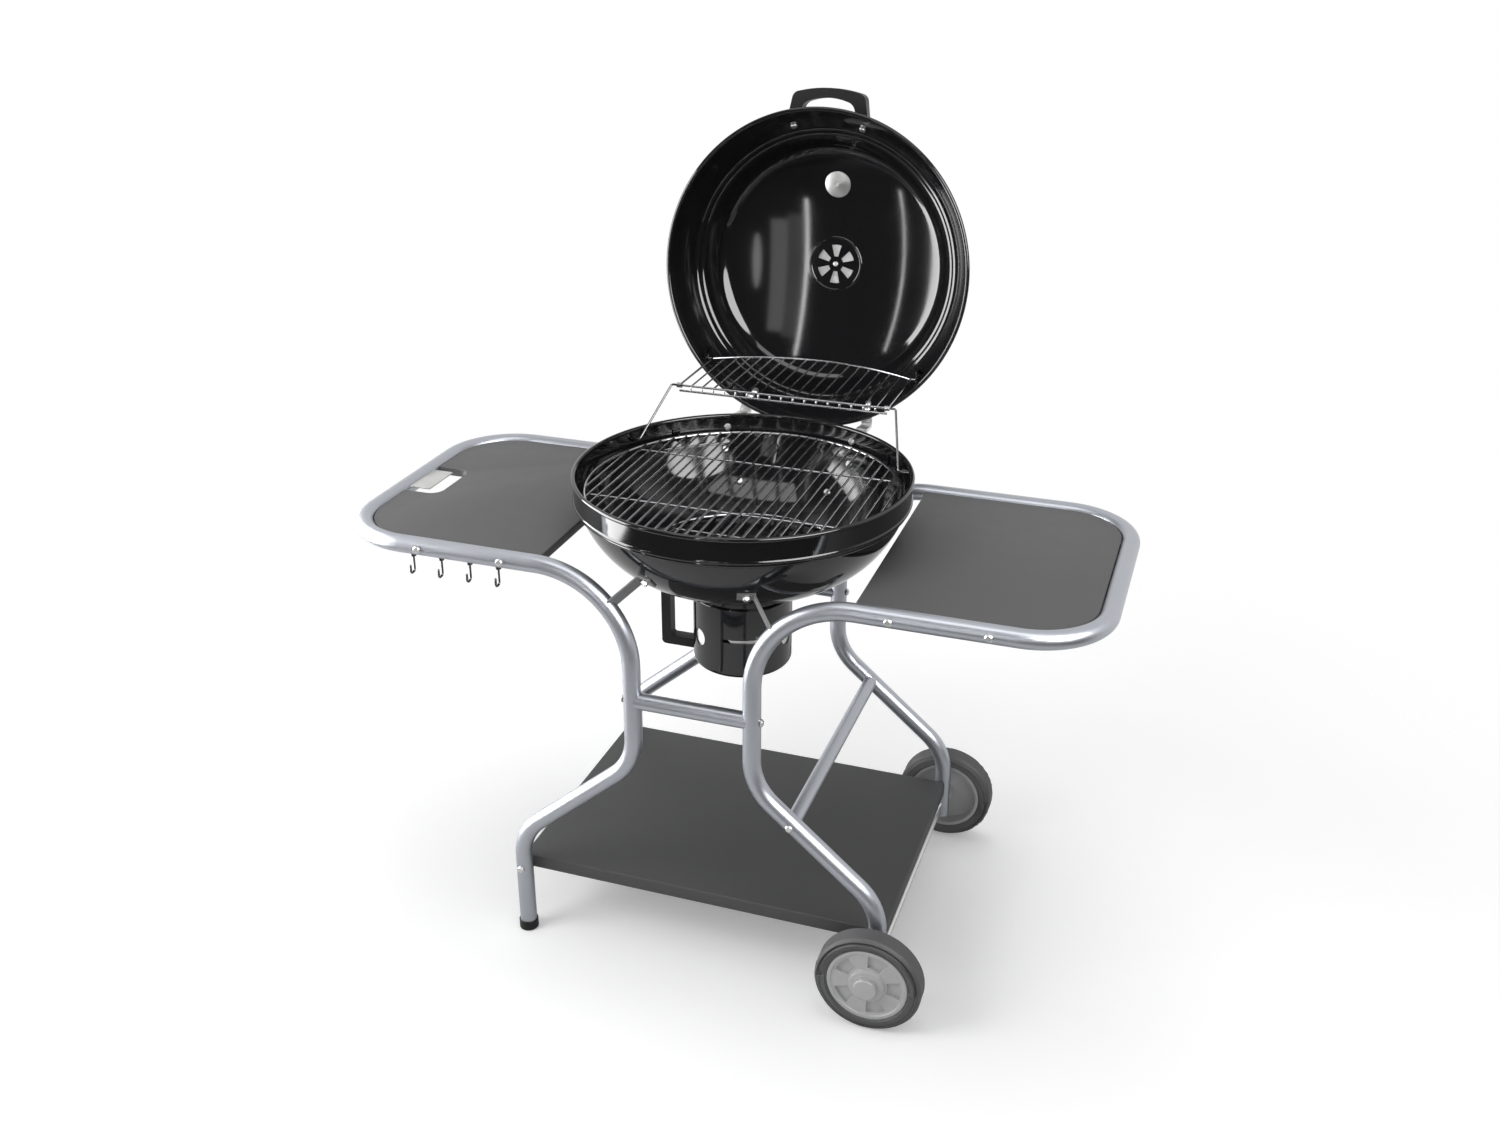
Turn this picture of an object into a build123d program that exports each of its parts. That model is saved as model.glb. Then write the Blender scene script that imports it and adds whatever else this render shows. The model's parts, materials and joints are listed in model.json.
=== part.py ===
from build123d import *
import os
from math import acos, asin, atan2, cos, degrees, floor, hypot, radians, sin, sqrt

# Kettle charcoal grill on a tube cart, with its lid swung open.
# Millimetres, +Z up, +X towards the wheels, -Y towards the cook.
# The origin lies on the floor under the axis of the bowl.

# Clearances
SEAT_GAP = 0.2  # between pieces that are bolted or laid against each other
RUN_GAP = 0.05  # radius of a bearing hole over its shaft
BOLT_GAP = 0.1  # radius of a bolt hole over its bolt
MOVE_GAP = 0.4  # between pieces that slide or turn past each other

# Driving sizes
BAND_R = 282.0  # outer radius of the bowl's band, which the cart's width, lid, rack and grates follow
RAIL_Z = 732.0  # height of the shelf rails, which the bowl, lid and ash catcher follow

# Bolts
BOLT_R = 3.0
HEAD_R = 6.5
HEAD_H = 4.0
NUT_R = 6.0
NUT_H = 5.0

# Cart frame
TUBE_R = 15.0
TUBE_WALL = 1.5
FRAME_TUCK = 31.0  # planes of the front and rear tubes inside the bowl's band
FRAME_Y = BAND_R - FRAME_TUCK
RAIL_END_X = 628.0
RAIL_CORNER_R = 117.0
UPRIGHT_X = 103.0
SHOULDER_R = 160.0
CROSSBAR_DROP = 60.0  # below the start of the shoulder bend
CROSSBAR_Z = RAIL_Z - SHOULDER_R - CROSSBAR_DROP
SPIGOT_LEN = 60.0
SPIGOT_ROOT = 15.0
TUBE_JOINT_Z = CROSSBAR_Z - 0.5 * SPIGOT_LEN - 2.0
KNEE_DROP = 88.0  # below the joint of the tubes
KNEE_Z = TUBE_JOINT_Z - KNEE_DROP
ANKLE_Z = 205.0
FOOT_X = 322.0
LEG_BEND_R = 100.0
CROSSBAR_R = 14.0
BRACE_X = 172.0
BRACE_R = 12.5
PLUG_LEN = 12.0
PLUG_SET = 8.0  # how far an end plug sits inside its tube
CAP_R = 17.0
CAP_H = 18.0
CAP_FLOOR = 4.0

# Shelves
SHELF_T = 16.0
SHELF_TUCK = 21.0  # inner edge of a shelf inside the bowl's band
SHELF_INNER_X = BAND_R - SHELF_TUCK
SHELF_BOLT_X = (320.0, 470.0)
BOARD_BITE = 20.0  # length of bolt inside a board
SLOT_INSET = 58.0
SLOT_X = RAIL_END_X - SLOT_INSET
SLOT_LEN = 120.0
SLOT_W = 44.0
TAB_LEN = 84.0
TAB_SETBACK = 4.0  # tab's free edge outside the slot's middle
TAB_T = 2.5
LOWER_TOP_Z = 146.0
LOWER_T = 25.0
LOWER_OVERHANG = 8.0  # beyond the axis of the legs
LOWER_HALF_X = FOOT_X + LOWER_OVERHANG
LOWER_CORNER_R = 8.0

# Utensil hooks
HOOK_X = (-487.0, -435.0, -383.0, -331.0)
HOOK_WIRE_R = 2.0
HOOK_DROP = 32.0
HOOK_GAPE = 12.0
HOOK_LIP = 14.0
HOOK_COLLAR_R = 5.0
HOOK_COLLAR_H = 4.0

# Wheels
WHEEL_R = 90.0
WHEEL_OUT = 42.0  # middle of a wheel outside its leg
WHEEL_Y = FRAME_Y + WHEEL_OUT
TYRE_HALF_W = 21.0
TYRE_STEP = 2.5
RIM_R = 68.0
AXLE_R = 6.0
HUB_BOSS_R = 30.0
HUB_SLEEVE_R = 14.0
HUB_PROUD = 2.0  # boss stands proud of the tyre's side
POCKET_COUNT = 5
POCKET_INNER_R = 34.0
POCKET_OUTER_R = 57.0
POCKET_HALF_ANGLE = 17.0
POCKET_DEPTH = 6.0
HUB_CAP_R = 20.0
HUB_CAP_H = 10.0
HUB_CAP_WALL = 2.5
AXLE_NUT_R = 10.0
AXLE_NUT_H = 4.0
LEG_BELOW_AXLE = 25.0

# Bowl
WALL = 2.0
RIM_RISE = 103.0  # rim above the rails
RIM_Z = RAIL_Z + RIM_RISE
RIM_ROLL_R = 4.0
BAND_H = 38.0
BAND_Z = RIM_Z - BAND_H
BEAD_IN = 2.5  # ridge between the two beads, inside the band's radius
BEAD_DROP = 7.5
BEAD_R = BAND_R - BEAD_IN
BEAD_Z = BAND_Z - BEAD_DROP
BEAD_BULGE = 1.8
WAIST_IN = 8.0
WAIST_DROP = 14.0
WAIST_R = BAND_R - WAIST_IN
WAIST_Z = BAND_Z - WAIST_DROP
BOWL_DEPTH = 183.0
FLOOR_R = 97.0
FLOOR_Z = RIM_Z - BOWL_DEPTH
OUTLET_R = 70.0
COLLAR_H = 48.0
COLLAR_WALL = 1.5
COLLAR_FLANGE = 8.0

# Bowl brackets
BRACKET_ANGLE = 20.6  # from the Y axis
BRACKET_RISE = 66.0  # above the bowl's floor
BRACKET_Z = FLOOR_Z + BRACKET_RISE
BRACKET_W = 20.0
BRACKET_T = 3.0
BRACKET_TAB = 30.0  # length of the tab along the bowl's wall
BRACKET_TUBE_ANGLE = 139.5  # place on the shoulder bend

# Lid and hinge
HINGE_X = 119.0
HINGE_OUT = 15.0  # outside the bowl's band
HINGE_DROP = 45.0  # below the bowl's rim
HINGE_Y = BAND_R + HINGE_OUT
HINGE_Z = RIM_Z - HINGE_DROP
LID_OPEN = 98.0
LID_REST_GAP = 0.4
LID_OVER = 1.0  # lid's radius over the bowl's
LID_R = BAND_R + LID_OVER
LID_BAND_H = 45.0
LID_DEPTH = 157.0
LID_SHOULDER_R = 70.0
PIN_R = 4.0
PIN_HEAD_R = 6.0
PIN_HEAD_H = 2.5
EAR_T = 3.0
ARM_W = 20.0
ARM_EYE_R = 9.0
ARM_INSET = 26.0  # inner face of the arm in front of the hinge axis
ARM_STRIP = 7.0
STOP_Y = 17.0  # inner face of the stop web behind the hinge axis
STOP_T = 4.0
STOP_LOW = 18.0
HINGE_FLANGE_W = 34.0
HINGE_FLANGE_LOW = HINGE_Z - 32.0
HINGE_FLANGE_HIGH = HINGE_Z + 34.0
HINGE_BOLT_Z = (HINGE_Z + 20.0, HINGE_Z - 19.0)
ARM_BOLT_UP = (25.0, 38.0)  # above the lid's rim
ARM_FLANGE_T = 4.0
ARM_FLANGE_LOW = 10.0

# Lid furniture
VENT_R = 36.0
VENT_HUB_R = 14.0
VENT_COUNT = 6
DAMPER_R = 41.0
DAMPER_T = 1.5
DAMPER_TAB = 14.0
RIVET_R = 4.0
RIVET_HEAD_R = 8.0
RIVET_HEAD_H = 3.0
GAUGE_REACH = 149.0  # from the lid's axis
GAUGE_R = 31.0
GAUGE_H = 17.0
GAUGE_WALL = 2.5
GAUGE_FLOOR = 2.0
GAUGE_GLASS_T = 2.0
NEEDLE_LEN = 21.0
NEEDLE_T = 0.8
NEEDLE_HUB_R = 3.0
POST_R = 1.0
PROBE_R = 4.0
PROBE_LEN = 85.0
PROBE_PLATE_R = 25.0
PROBE_PLATE_T = 2.0
GRIP_HALF_W = 70.0
GRIP_STANDOFF = 37.0
GRIP_BAR = 17.0
GRIP_DEEP = 24.0
GRIP_UP = 24.0  # centre above the lid's rim
GRIP_BOLT_X = 60.0
GRIP_BITE = 14.0

# Warming rack
RACK_PIVOT_Y = HINGE_Y - 177.0
RACK_PIVOT_Z = HINGE_Z + 28.0
RACK_Z = HINGE_Z + 107.0
RACK_FRONT_Y = HINGE_Y - 92.0
RACK_REAR_Y = HINGE_Y + 78.0
RACK_SAG = 53.0  # rear arc at its middle behind its ends
RACK_MID_Y = RACK_REAR_Y + RACK_SAG
RACK_LIP = 10.0
RACK_FRAME_R = 2.0
RACK_BAR_R = 1.6
RACK_BARS = 17
RACK_LEG_R = 2.0
RACK_LEG_IN = 46.0  # foot of a leg inside the bowl's band
RACK_LEG_FOOT_X = BAND_R - RACK_LEG_IN
RACK_LEG_BEND_R = 5.0
RACK_BOSS_R = 5.0
RACK_BOSS_LEN = 10.0
RACK_EYE_R = 4.6
RACK_EYE_LEN = 9.0
HANGER_T = 3.0
HANGER_PLAY = 1.2
HANGER_EDGE = 10.0  # rear pin inside the lid's wall
HANGER_SIDE = 8.0  # between the rack's end wire and its hanger

# Grates
COOK_Z = BAND_Z + 7.0
COOK_IN = 18.0  # ring inside the bowl's band
COOK_R = BAND_R - COOK_IN
COOK_RING_R = 3.0
COOK_BAR_R = 2.0
COOK_BARS = 29
COOK_CROSS_Y = 110.0
COOK_TABS = 4
COOK_TAB_W = 14.0
COOK_TAB_T = 3.0
COOK_TAB_H = 16.0
COOK_TAB_REACH = COOK_R - 6.0
COAL_R = 180.0
COAL_RING_R = 3.0
COAL_BAR_R = 2.5
COAL_BARS = 13
COAL_CROSS_Y = 75.0

# Ash catcher
CAN_R = 86.0
CAN_WALL = 1.5
CAN_DROP = 169.0  # bottom below the bowl's floor
CAN_BOTTOM_Z = FLOOR_Z - CAN_DROP
CAN_CORNER_R = 12.0
CAN_TOP_GAP = 36.0  # below the bowl's floor
CAN_LIP_R = 2.0
AIR_HOLE_R = 15.0
AIR_HOLE_Z = CAN_BOTTOM_Z + 62.0
AIR_HOLE_ANGLES = (-130.0, -10.0, 110.0)
LEVER_Z = CAN_BOTTOM_Z + 72.0
SLOT_MID_ANGLE = -70.0
SLOT_HALF_ANGLE = 24.0
SLOT_H = 6.0
LEVER_TURN = 36.0
LEVER_W = 8.0
LEVER_T = 2.5
LEVER_REACH = 14.0
RING_T = 1.2
RING_LOW_Z = CAN_BOTTOM_Z + 29.0
RING_TOP_Z = CAN_BOTTOM_Z + 99.0
LEDGE_W = 2.5
LEDGE_H = 2.0
HANDLE_REACH = 62.0  # outer face beyond the can's wall
HANDLE_BAR = 17.0
HANDLE_W = 22.0
HANDLE_LOW_Z = CAN_BOTTOM_Z + 7.0
HANDLE_HIGH_Z = CAN_BOTTOM_Z + 123.0
HANDLE_CORNER_R = 8.0

BASE = (Align.CENTER, Align.CENTER, Align.MIN)
HANG = (Align.CENTER, Align.CENTER, Align.MAX)
pieces = {}


def rod(start, end, radius):
    """Round rod between two points."""
    line = Vector(*end) - Vector(*start)
    return Plane(origin=start, z_dir=line) * Cylinder(radius, line.length, align=BASE)


def wire(start, end, radius, sides=6):
    """Straight drawn wire between two points, with a few flat sides."""
    line = Vector(*end) - Vector(*start)
    return Plane(origin=start, z_dir=line) * extrude(RegularPolygon(radius, sides), line.length)


def tube(path, outer_r, wall):
    """Hollow tube along a path."""
    start = Plane(origin=path @ 0, z_dir=path % 0)
    bore = sweep(start * Circle(outer_r - wall), path)
    return sweep(start * Circle(outer_r), path) - bore


def turned(outline):
    """Solid turned about the vertical axis from a closed outline of radius and height."""
    return revolve(Plane.XZ * make_face(outline), Axis.Z)


def bolt(seat, direction, length, nut_at=None):
    """Bolt whose head sits at seat and whose shank runs along direction, with a nut where one shows."""
    head = Cylinder(HEAD_R, HEAD_H, align=HANG)
    head = chamfer(head.edges().group_by(Axis.Z)[0], HEAD_H * 0.45)
    body = head + Cylinder(BOLT_R, length, align=BASE)
    if nut_at is not None:
        body += Pos(0, 0, nut_at) * extrude(RegularPolygon(NUT_R, 6), NUT_H)
    return Plane(origin=seat, z_dir=direction) * body


def bolt_hole(seat, direction, length, gap=BOLT_GAP):
    """Cutter for the hole of a bolt, a little longer than the bolt at both ends."""
    along = Vector(*direction).normalized()
    return rod(Vector(*seat) - along * length, Vector(*seat) + along * length, BOLT_R + gap)


def both_sides(shape):
    """A shape on the wheel side and its mirror image on the other side."""
    return (shape, mirror(shape, Plane.YZ))


# Cart frame


def rail_path(side):
    """Centre line of an upper tube: front upright, rail, end bar, rail and rear upright."""
    return FilletPolyline(
        (side * UPRIGHT_X, -FRAME_Y, TUBE_JOINT_Z),
        (side * UPRIGHT_X, -FRAME_Y, RAIL_Z),
        (side * RAIL_END_X, -FRAME_Y, RAIL_Z),
        (side * RAIL_END_X, FRAME_Y, RAIL_Z),
        (side * UPRIGHT_X, FRAME_Y, RAIL_Z),
        (side * UPRIGHT_X, FRAME_Y, TUBE_JOINT_Z),
        radius=[SHOULDER_R, RAIL_CORNER_R, RAIL_CORNER_R, SHOULDER_R],
    )


def crossbar_bolts(y):
    """Seat and direction of the bolts that hold a crossbar between its uprights."""
    seat_x = UPRIGHT_X + TUBE_R + BOLT_GAP
    return [((side * seat_x, y, CROSSBAR_Z), (-side, 0, 0)) for side in (-1, 1)]


def shelf_bolts(side):
    """Seat and direction of the bolts that hold a shelf board between its rails."""
    seat_y = FRAME_Y + TUBE_R + BOLT_GAP
    places = [(x, end) for x in SHELF_BOLT_X for end in (-1, 1)]
    return [((side * x, end * seat_y, RAIL_Z), (0, -end, 0)) for x, end in places]


def lower_bolts():
    """Seat and direction of the bolts that hold the lower shelf between the legs."""
    seat_y = FRAME_Y + TUBE_R + BOLT_GAP
    height = LOWER_TOP_Z - LOWER_T / 2
    places = [(side, end) for side in (-1, 1) for end in (-1, 1)]
    return [((side * FOOT_X, end * seat_y, height), (0, -end, 0)) for side, end in places]


CROSSBAR_BOLT_LEN = 2 * TUBE_R + PLUG_SET + PLUG_LEN
SHELF_BOLT_LEN = 2 * TUBE_R + BOARD_BITE
BRACE_Z = KNEE_Z + (ANKLE_Z - KNEE_Z) * (BRACE_X - UPRIGHT_X) / (FOOT_X - UPRIGHT_X)
BRACE_BOLT_LEN = 2 * TUBE_R + PLUG_SET + PLUG_LEN


def brace_bolts():
    """Seat and direction of the bolts through the wheel-side legs into their brace."""
    seat_y = FRAME_Y + TUBE_R + BOLT_GAP
    return [((BRACE_X, end * seat_y, BRACE_Z), (0, -end, 0)) for end in (-1, 1)]


def upper_tube(side):
    """Upper tube with its bolt and hook holes."""
    body = tube(rail_path(side), TUBE_R, TUBE_WALL)
    for y in (-FRAME_Y, FRAME_Y):
        for seat, direction in crossbar_bolts(y):
            body -= bolt_hole(seat, direction, 2 * TUBE_R + 1)
    for seat, direction in shelf_bolts(side):
        body -= bolt_hole(seat, direction, 2 * TUBE_R + 1)
    if side < 0:
        for x in HOOK_X:
            low = RAIL_Z - TUBE_R - 1
            body -= rod((x, -FRAME_Y, low), (x, -FRAME_Y, RAIL_Z), HOOK_WIRE_R + BOLT_GAP)
    return body


def leg(side, end):
    """Lower leg: spigot, knee, ankle and foot, with the holes for its bolts and the axle."""
    y = end * FRAME_Y
    foot_z = CAP_FLOOR + SEAT_GAP if side < 0 else WHEEL_R - LEG_BELOW_AXLE
    path = FilletPolyline(
        (side * UPRIGHT_X, y, TUBE_JOINT_Z - SEAT_GAP),
        (side * UPRIGHT_X, y, KNEE_Z),
        (side * FOOT_X, y, ANKLE_Z),
        (side * FOOT_X, y, foot_z),
        radius=LEG_BEND_R,
    )
    body = tube(path, TUBE_R, TUBE_WALL)
    bore_r = TUBE_R - TUBE_WALL
    spigot = Cylinder(bore_r - RUN_GAP, SPIGOT_LEN, align=BASE)
    root = Cylinder(bore_r + TUBE_WALL / 2, SPIGOT_ROOT, align=HANG)
    hollow = Pos(0, 0, -SPIGOT_ROOT) * Cylinder(bore_r - TUBE_WALL, SPIGOT_ROOT + SPIGOT_LEN, align=BASE)
    body += Pos(side * UPRIGHT_X, y, TUBE_JOINT_Z - SEAT_GAP) * (spigot + root - hollow)
    for seat, direction in crossbar_bolts(y) + lower_bolts():
        body -= bolt_hole(seat, direction, 2 * TUBE_R + 1)
    if side > 0:
        for seat, direction in brace_bolts():
            body -= bolt_hole(seat, direction, 2 * TUBE_R + 1)
        body -= rod((FOOT_X, y - 2 * TUBE_R, WHEEL_R), (FOOT_X, y + 2 * TUBE_R, WHEEL_R), AXLE_R + RUN_GAP)
    return body


def crossbar(y):
    """Crossbar whose ends are coped to the uprights, with a threaded plug inside each end."""
    body = tube(Line((-UPRIGHT_X, y, CROSSBAR_Z), (UPRIGHT_X, y, CROSSBAR_Z)), CROSSBAR_R, TUBE_WALL)
    plug_end = UPRIGHT_X - TUBE_R - PLUG_SET
    for side in (-1, 1):
        plug_r = CROSSBAR_R - TUBE_WALL / 2
        body += rod((side * (plug_end - PLUG_LEN), y, CROSSBAR_Z), (side * plug_end, y, CROSSBAR_Z), plug_r)
    for side in (-1, 1):
        upright = Cylinder(TUBE_R + SEAT_GAP, 4 * CROSSBAR_R)
        body -= Pos(side * UPRIGHT_X, y, CROSSBAR_Z) * upright
    for seat, direction in crossbar_bolts(y):
        body -= bolt_hole(seat, direction, CROSSBAR_BOLT_LEN + 1)
    return body


def leg_brace():
    """Brace between the wheel-side legs, coped to their slanting stretch."""
    body = tube(Line((BRACE_X, -FRAME_Y, BRACE_Z), (BRACE_X, FRAME_Y, BRACE_Z)), BRACE_R, TUBE_WALL)
    plug_end = FRAME_Y - TUBE_R - PLUG_SET
    slope = Vector(FOOT_X - UPRIGHT_X, 0, ANKLE_Z - KNEE_Z).normalized() * (4 * BRACE_R)
    for end in (-1, 1):
        plug_r = BRACE_R - TUBE_WALL / 2
        body += rod((BRACE_X, end * (plug_end - PLUG_LEN), BRACE_Z), (BRACE_X, end * plug_end, BRACE_Z), plug_r)
        middle = Vector(BRACE_X, end * FRAME_Y, BRACE_Z)
        body -= rod(middle - slope, middle + slope, TUBE_R + SEAT_GAP)
    for seat, direction in brace_bolts():
        body -= bolt_hole(seat, direction, BRACE_BOLT_LEN + 1)
    return body


def make_frame():
    for name, side in (("left", -1), ("right", 1)):
        pieces[name + "_upper_tube"] = upper_tube(side)
        pieces[name + "_front_leg"] = leg(side, -1)
        pieces[name + "_rear_leg"] = leg(side, 1)
    pieces["front_crossbar"] = crossbar(-FRAME_Y)
    pieces["rear_crossbar"] = crossbar(FRAME_Y)
    pieces["leg_brace"] = leg_brace()
    places = crossbar_bolts(-FRAME_Y) + crossbar_bolts(FRAME_Y)
    fasteners = [bolt(seat, direction, CROSSBAR_BOLT_LEN) for seat, direction in places]
    fasteners += [bolt(seat, direction, BRACE_BOLT_LEN) for seat, direction in brace_bolts()]
    pieces["frame_bolts"] = fasteners
    cap = Cylinder(CAP_R, CAP_H, align=BASE)
    cap -= Pos(0, 0, CAP_FLOOR) * Cylinder(TUBE_R + BOLT_GAP, CAP_H, align=BASE)
    cap = chamfer(cap.edges().filter_by(GeomType.CIRCLE).group_by(Axis.Z)[0], 1.5)
    pieces["foot_caps"] = [Pos(-FOOT_X, end * FRAME_Y, 0) * cap for end in (-1, 1)]


# Shelves and hooks


def shelf_board(side):
    """Side shelf board that fills the rail loop, with a hand slot at the outer edge of the left one."""
    outer_x = RAIL_END_X - TUBE_R - SEAT_GAP
    half_y = FRAME_Y - TUBE_R - SEAT_GAP
    plan = Pos((outer_x + SHELF_INNER_X) / 2, 0) * Rectangle(outer_x - SHELF_INNER_X, 2 * half_y)
    plan = fillet(plan.vertices().group_by(Axis.X)[-1], RAIL_CORNER_R - TUBE_R - SEAT_GAP)
    if side < 0:
        plan -= Pos(SLOT_X, 0) * SlotOverall(SLOT_LEN, SLOT_W, rotation=90)
        plan -= Pos((SLOT_X + outer_x + 1) / 2, 0) * Rectangle(outer_x + 1 - SLOT_X, SLOT_LEN)
    board = Pos(0, 0, RAIL_Z - SHELF_T / 2) * extrude(plan, SHELF_T)
    if side < 0:
        board = mirror(board, Plane.YZ)
    for seat, direction in shelf_bolts(side):
        board -= bolt_hole(seat, direction, SHELF_BOLT_LEN + 1, RUN_GAP)
    return board


def lower_shelf():
    """Lower shelf board between the legs."""
    half_y = FRAME_Y - TUBE_R - SEAT_GAP
    plan = fillet(Rectangle(2 * LOWER_HALF_X, 2 * half_y).vertices(), LOWER_CORNER_R)
    board = Pos(0, 0, LOWER_TOP_Z - LOWER_T) * extrude(plan, LOWER_T)
    for seat, direction in lower_bolts():
        board -= bolt_hole(seat, direction, SHELF_BOLT_LEN + 1, RUN_GAP)
    return board


def slot_tab():
    """Flat steel tab on the left end bar that fills the outer half of the hand slot, flush with the board."""
    mid_z = RAIL_Z + SHELF_T / 2 - TAB_T / 2
    tube_half = sqrt(TUBE_R**2 - (mid_z - TAB_T / 2 - RAIL_Z) ** 2)
    inner_x = RAIL_END_X - tube_half - SEAT_GAP
    reach_x = SLOT_X + TAB_SETBACK
    plate = Box(inner_x - reach_x, TAB_LEN, TAB_T)
    return Pos(-(inner_x + reach_x) / 2, 0, mid_z) * plate


def utensil_hook(x):
    """Bent wire hook that hangs from the underside of the left front rail."""
    low = RAIL_Z - TUBE_R - HOOK_DROP
    top = RAIL_Z - TUBE_R + 2 * TUBE_WALL
    path = FilletPolyline(
        (x, -FRAME_Y, top),
        (x, -FRAME_Y, low),
        (x, -FRAME_Y - HOOK_GAPE, low),
        (x, -FRAME_Y - HOOK_GAPE, low + HOOK_LIP),
        radius=HOOK_GAPE * 0.45,
    )
    shank = sweep(Plane(origin=path @ 0, z_dir=path % 0) * RegularPolygon(HOOK_WIRE_R, 8), path)
    collar = Cylinder(HOOK_COLLAR_R, HOOK_COLLAR_H, align=HANG)
    return shank + Pos(x, -FRAME_Y, RAIL_Z - TUBE_R - SEAT_GAP) * collar


def make_shelves():
    pieces["left_shelf"] = shelf_board(-1)
    pieces["right_shelf"] = shelf_board(1)
    pieces["lower_shelf"] = lower_shelf()
    pieces["shelf_bolts"] = [
        bolt(seat, direction, SHELF_BOLT_LEN)
        for seat, direction in shelf_bolts(-1) + shelf_bolts(1) + lower_bolts()
    ]
    pieces["slot_tab"] = slot_tab()
    pieces["utensil_hooks"] = [utensil_hook(x) for x in HOOK_X]


# Wheels


def wheel_turned(points):
    """Wheel part turned about the axle, from points of radius and distance outwards."""
    return revolve(make_face(Polyline(*points, close=True)), Axis.Y)


def make_wheels():
    half = TYRE_HALF_W
    side = half - TYRE_STEP
    tyre = wheel_turned(
        [
            (RIM_R, -side),
            (RIM_R + 12, -half),
            (RIM_R + 14, -side),
            (WHEEL_R - 4, -side),
            (WHEEL_R, -side + 4),
            (WHEEL_R, side - 4),
            (WHEEL_R - 4, side),
            (RIM_R + 14, side),
            (RIM_R + 12, half),
            (RIM_R, side),
        ]
    )
    bore = AXLE_R + RUN_GAP
    rim = RIM_R - SEAT_GAP
    face = half - 5
    back = face - 10
    boss = half + HUB_PROUD
    sleeve = WHEEL_Y - FRAME_Y - TUBE_R - 6
    hub = wheel_turned(
        [
            (bore, boss),
            (HUB_CAP_R + 2, boss),
            (HUB_BOSS_R, boss - 3),
            (HUB_BOSS_R + 1, face),
            (rim - 8, face),
            (rim - 6, side),
            (rim, side),
            (rim, -side),
            (rim - 6, -side),
            (rim - 6, back),
            (HUB_SLEEVE_R, back),
            (HUB_SLEEVE_R, -sleeve),
            (bore, -sleeve),
        ]
    )
    spread = sin(radians(POCKET_HALF_ANGLE))
    corners = [
        (POCKET_INNER_R, -POCKET_INNER_R * spread),
        (POCKET_OUTER_R, -POCKET_OUTER_R * spread),
        (POCKET_OUTER_R, POCKET_OUTER_R * spread),
        (POCKET_INNER_R, POCKET_INNER_R * spread),
    ]
    pocket = extrude(Plane.XZ * make_face(Polyline(*corners, close=True)), POCKET_DEPTH)
    pocket = Pos(0, face, 0) * pocket
    for turn in range(POCKET_COUNT):
        hub -= Rot(0, 90 + turn * 360 / POCKET_COUNT, 0) * pocket
    seat = boss + BOLT_GAP
    cap = wheel_turned(
        [
            (0, seat + HUB_CAP_H),
            (HUB_CAP_R - 4, seat + HUB_CAP_H),
            (HUB_CAP_R, seat + HUB_CAP_H - 4),
            (HUB_CAP_R, seat),
            (HUB_CAP_R - HUB_CAP_WALL, seat),
            (HUB_CAP_R - HUB_CAP_WALL, seat + HUB_CAP_H - HUB_CAP_WALL),
            (0, seat + HUB_CAP_H - HUB_CAP_WALL),
        ]
    )
    for name, end in (("front", -1), ("rear", 1)):
        for part_name, shape in (("tyre", tyre), ("hub", hub), ("hub_cap", cap)):
            outward = shape if end > 0 else mirror(shape, Plane.XZ)
            pieces[name + "_" + part_name] = Pos(FOOT_X, end * WHEEL_Y, WHEEL_R) * outward
    nut_y = WHEEL_Y + boss + MOVE_GAP
    axle_end = nut_y + AXLE_NUT_H + 1
    pieces["axle"] = rod((FOOT_X, -axle_end, WHEEL_R), (FOOT_X, axle_end, WHEEL_R), AXLE_R)
    nuts = []
    spacers = []
    spacer_y = FRAME_Y + TUBE_R + SEAT_GAP
    spacer_end = WHEEL_Y - sleeve - MOVE_GAP
    hole = rod((FOOT_X, -axle_end, WHEEL_R), (FOOT_X, axle_end, WHEEL_R), AXLE_R + RUN_GAP)
    for end in (-1, 1):
        nut = rod((FOOT_X, end * nut_y, WHEEL_R), (FOOT_X, end * (nut_y + AXLE_NUT_H), WHEEL_R), AXLE_NUT_R)
        nuts.append(nut - hole)
        ring = rod((FOOT_X, end * spacer_y, WHEEL_R), (FOOT_X, end * spacer_end, WHEEL_R), AXLE_NUT_R)
        spacers.append(ring - hole)
    pieces["axle_nuts"] = nuts
    pieces["axle_spacers"] = spacers


# Bowl

BELLY_R = ((WAIST_R - FLOOR_R) ** 2 + (WAIST_Z - FLOOR_Z) ** 2) / (2 * (WAIST_Z - FLOOR_Z))
BELLY_CENTRE = (FLOOR_R, FLOOR_Z + BELLY_R)
COLLAR_R = CAN_R - CAN_WALL - MOVE_GAP
COAL_SEAT_R = BELLY_R - WALL - SEAT_GAP - COAL_RING_R
COAL_Z = BELLY_CENTRE[1] - sqrt(COAL_SEAT_R**2 - (COAL_R - FLOOR_R) ** 2)


def belly_arc(radius, top_z):
    """Round side of the bowl from its flat floor up to a height."""
    top = degrees(asin((top_z - BELLY_CENTRE[1]) / radius))
    return CenterArc(BELLY_CENTRE, radius, -90, top + 90)


def bulge(start, end, height):
    """Arc between two points that swells to the right of the way from start to end."""
    along = (end - start).normalized()
    middle = (start + end) / 2 + Vector(along.Y, -along.X) * height
    return ThreePointArc(start, middle, end)


def bowl_side(grow):
    """Outer outline of the bowl from its floor to the rim, grown outwards."""
    belly = belly_arc(BELLY_R + grow, WAIST_Z)
    bead = Vector(BEAD_R + grow, BEAD_Z)
    band = Vector(BAND_R + grow, BAND_Z)
    lower = bulge(belly @ 1, bead, BEAD_BULGE)
    upper = bulge(bead, band, BEAD_BULGE)
    return [belly, lower, upper, Line(band, (BAND_R + grow, RIM_Z - RIM_ROLL_R))]


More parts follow.
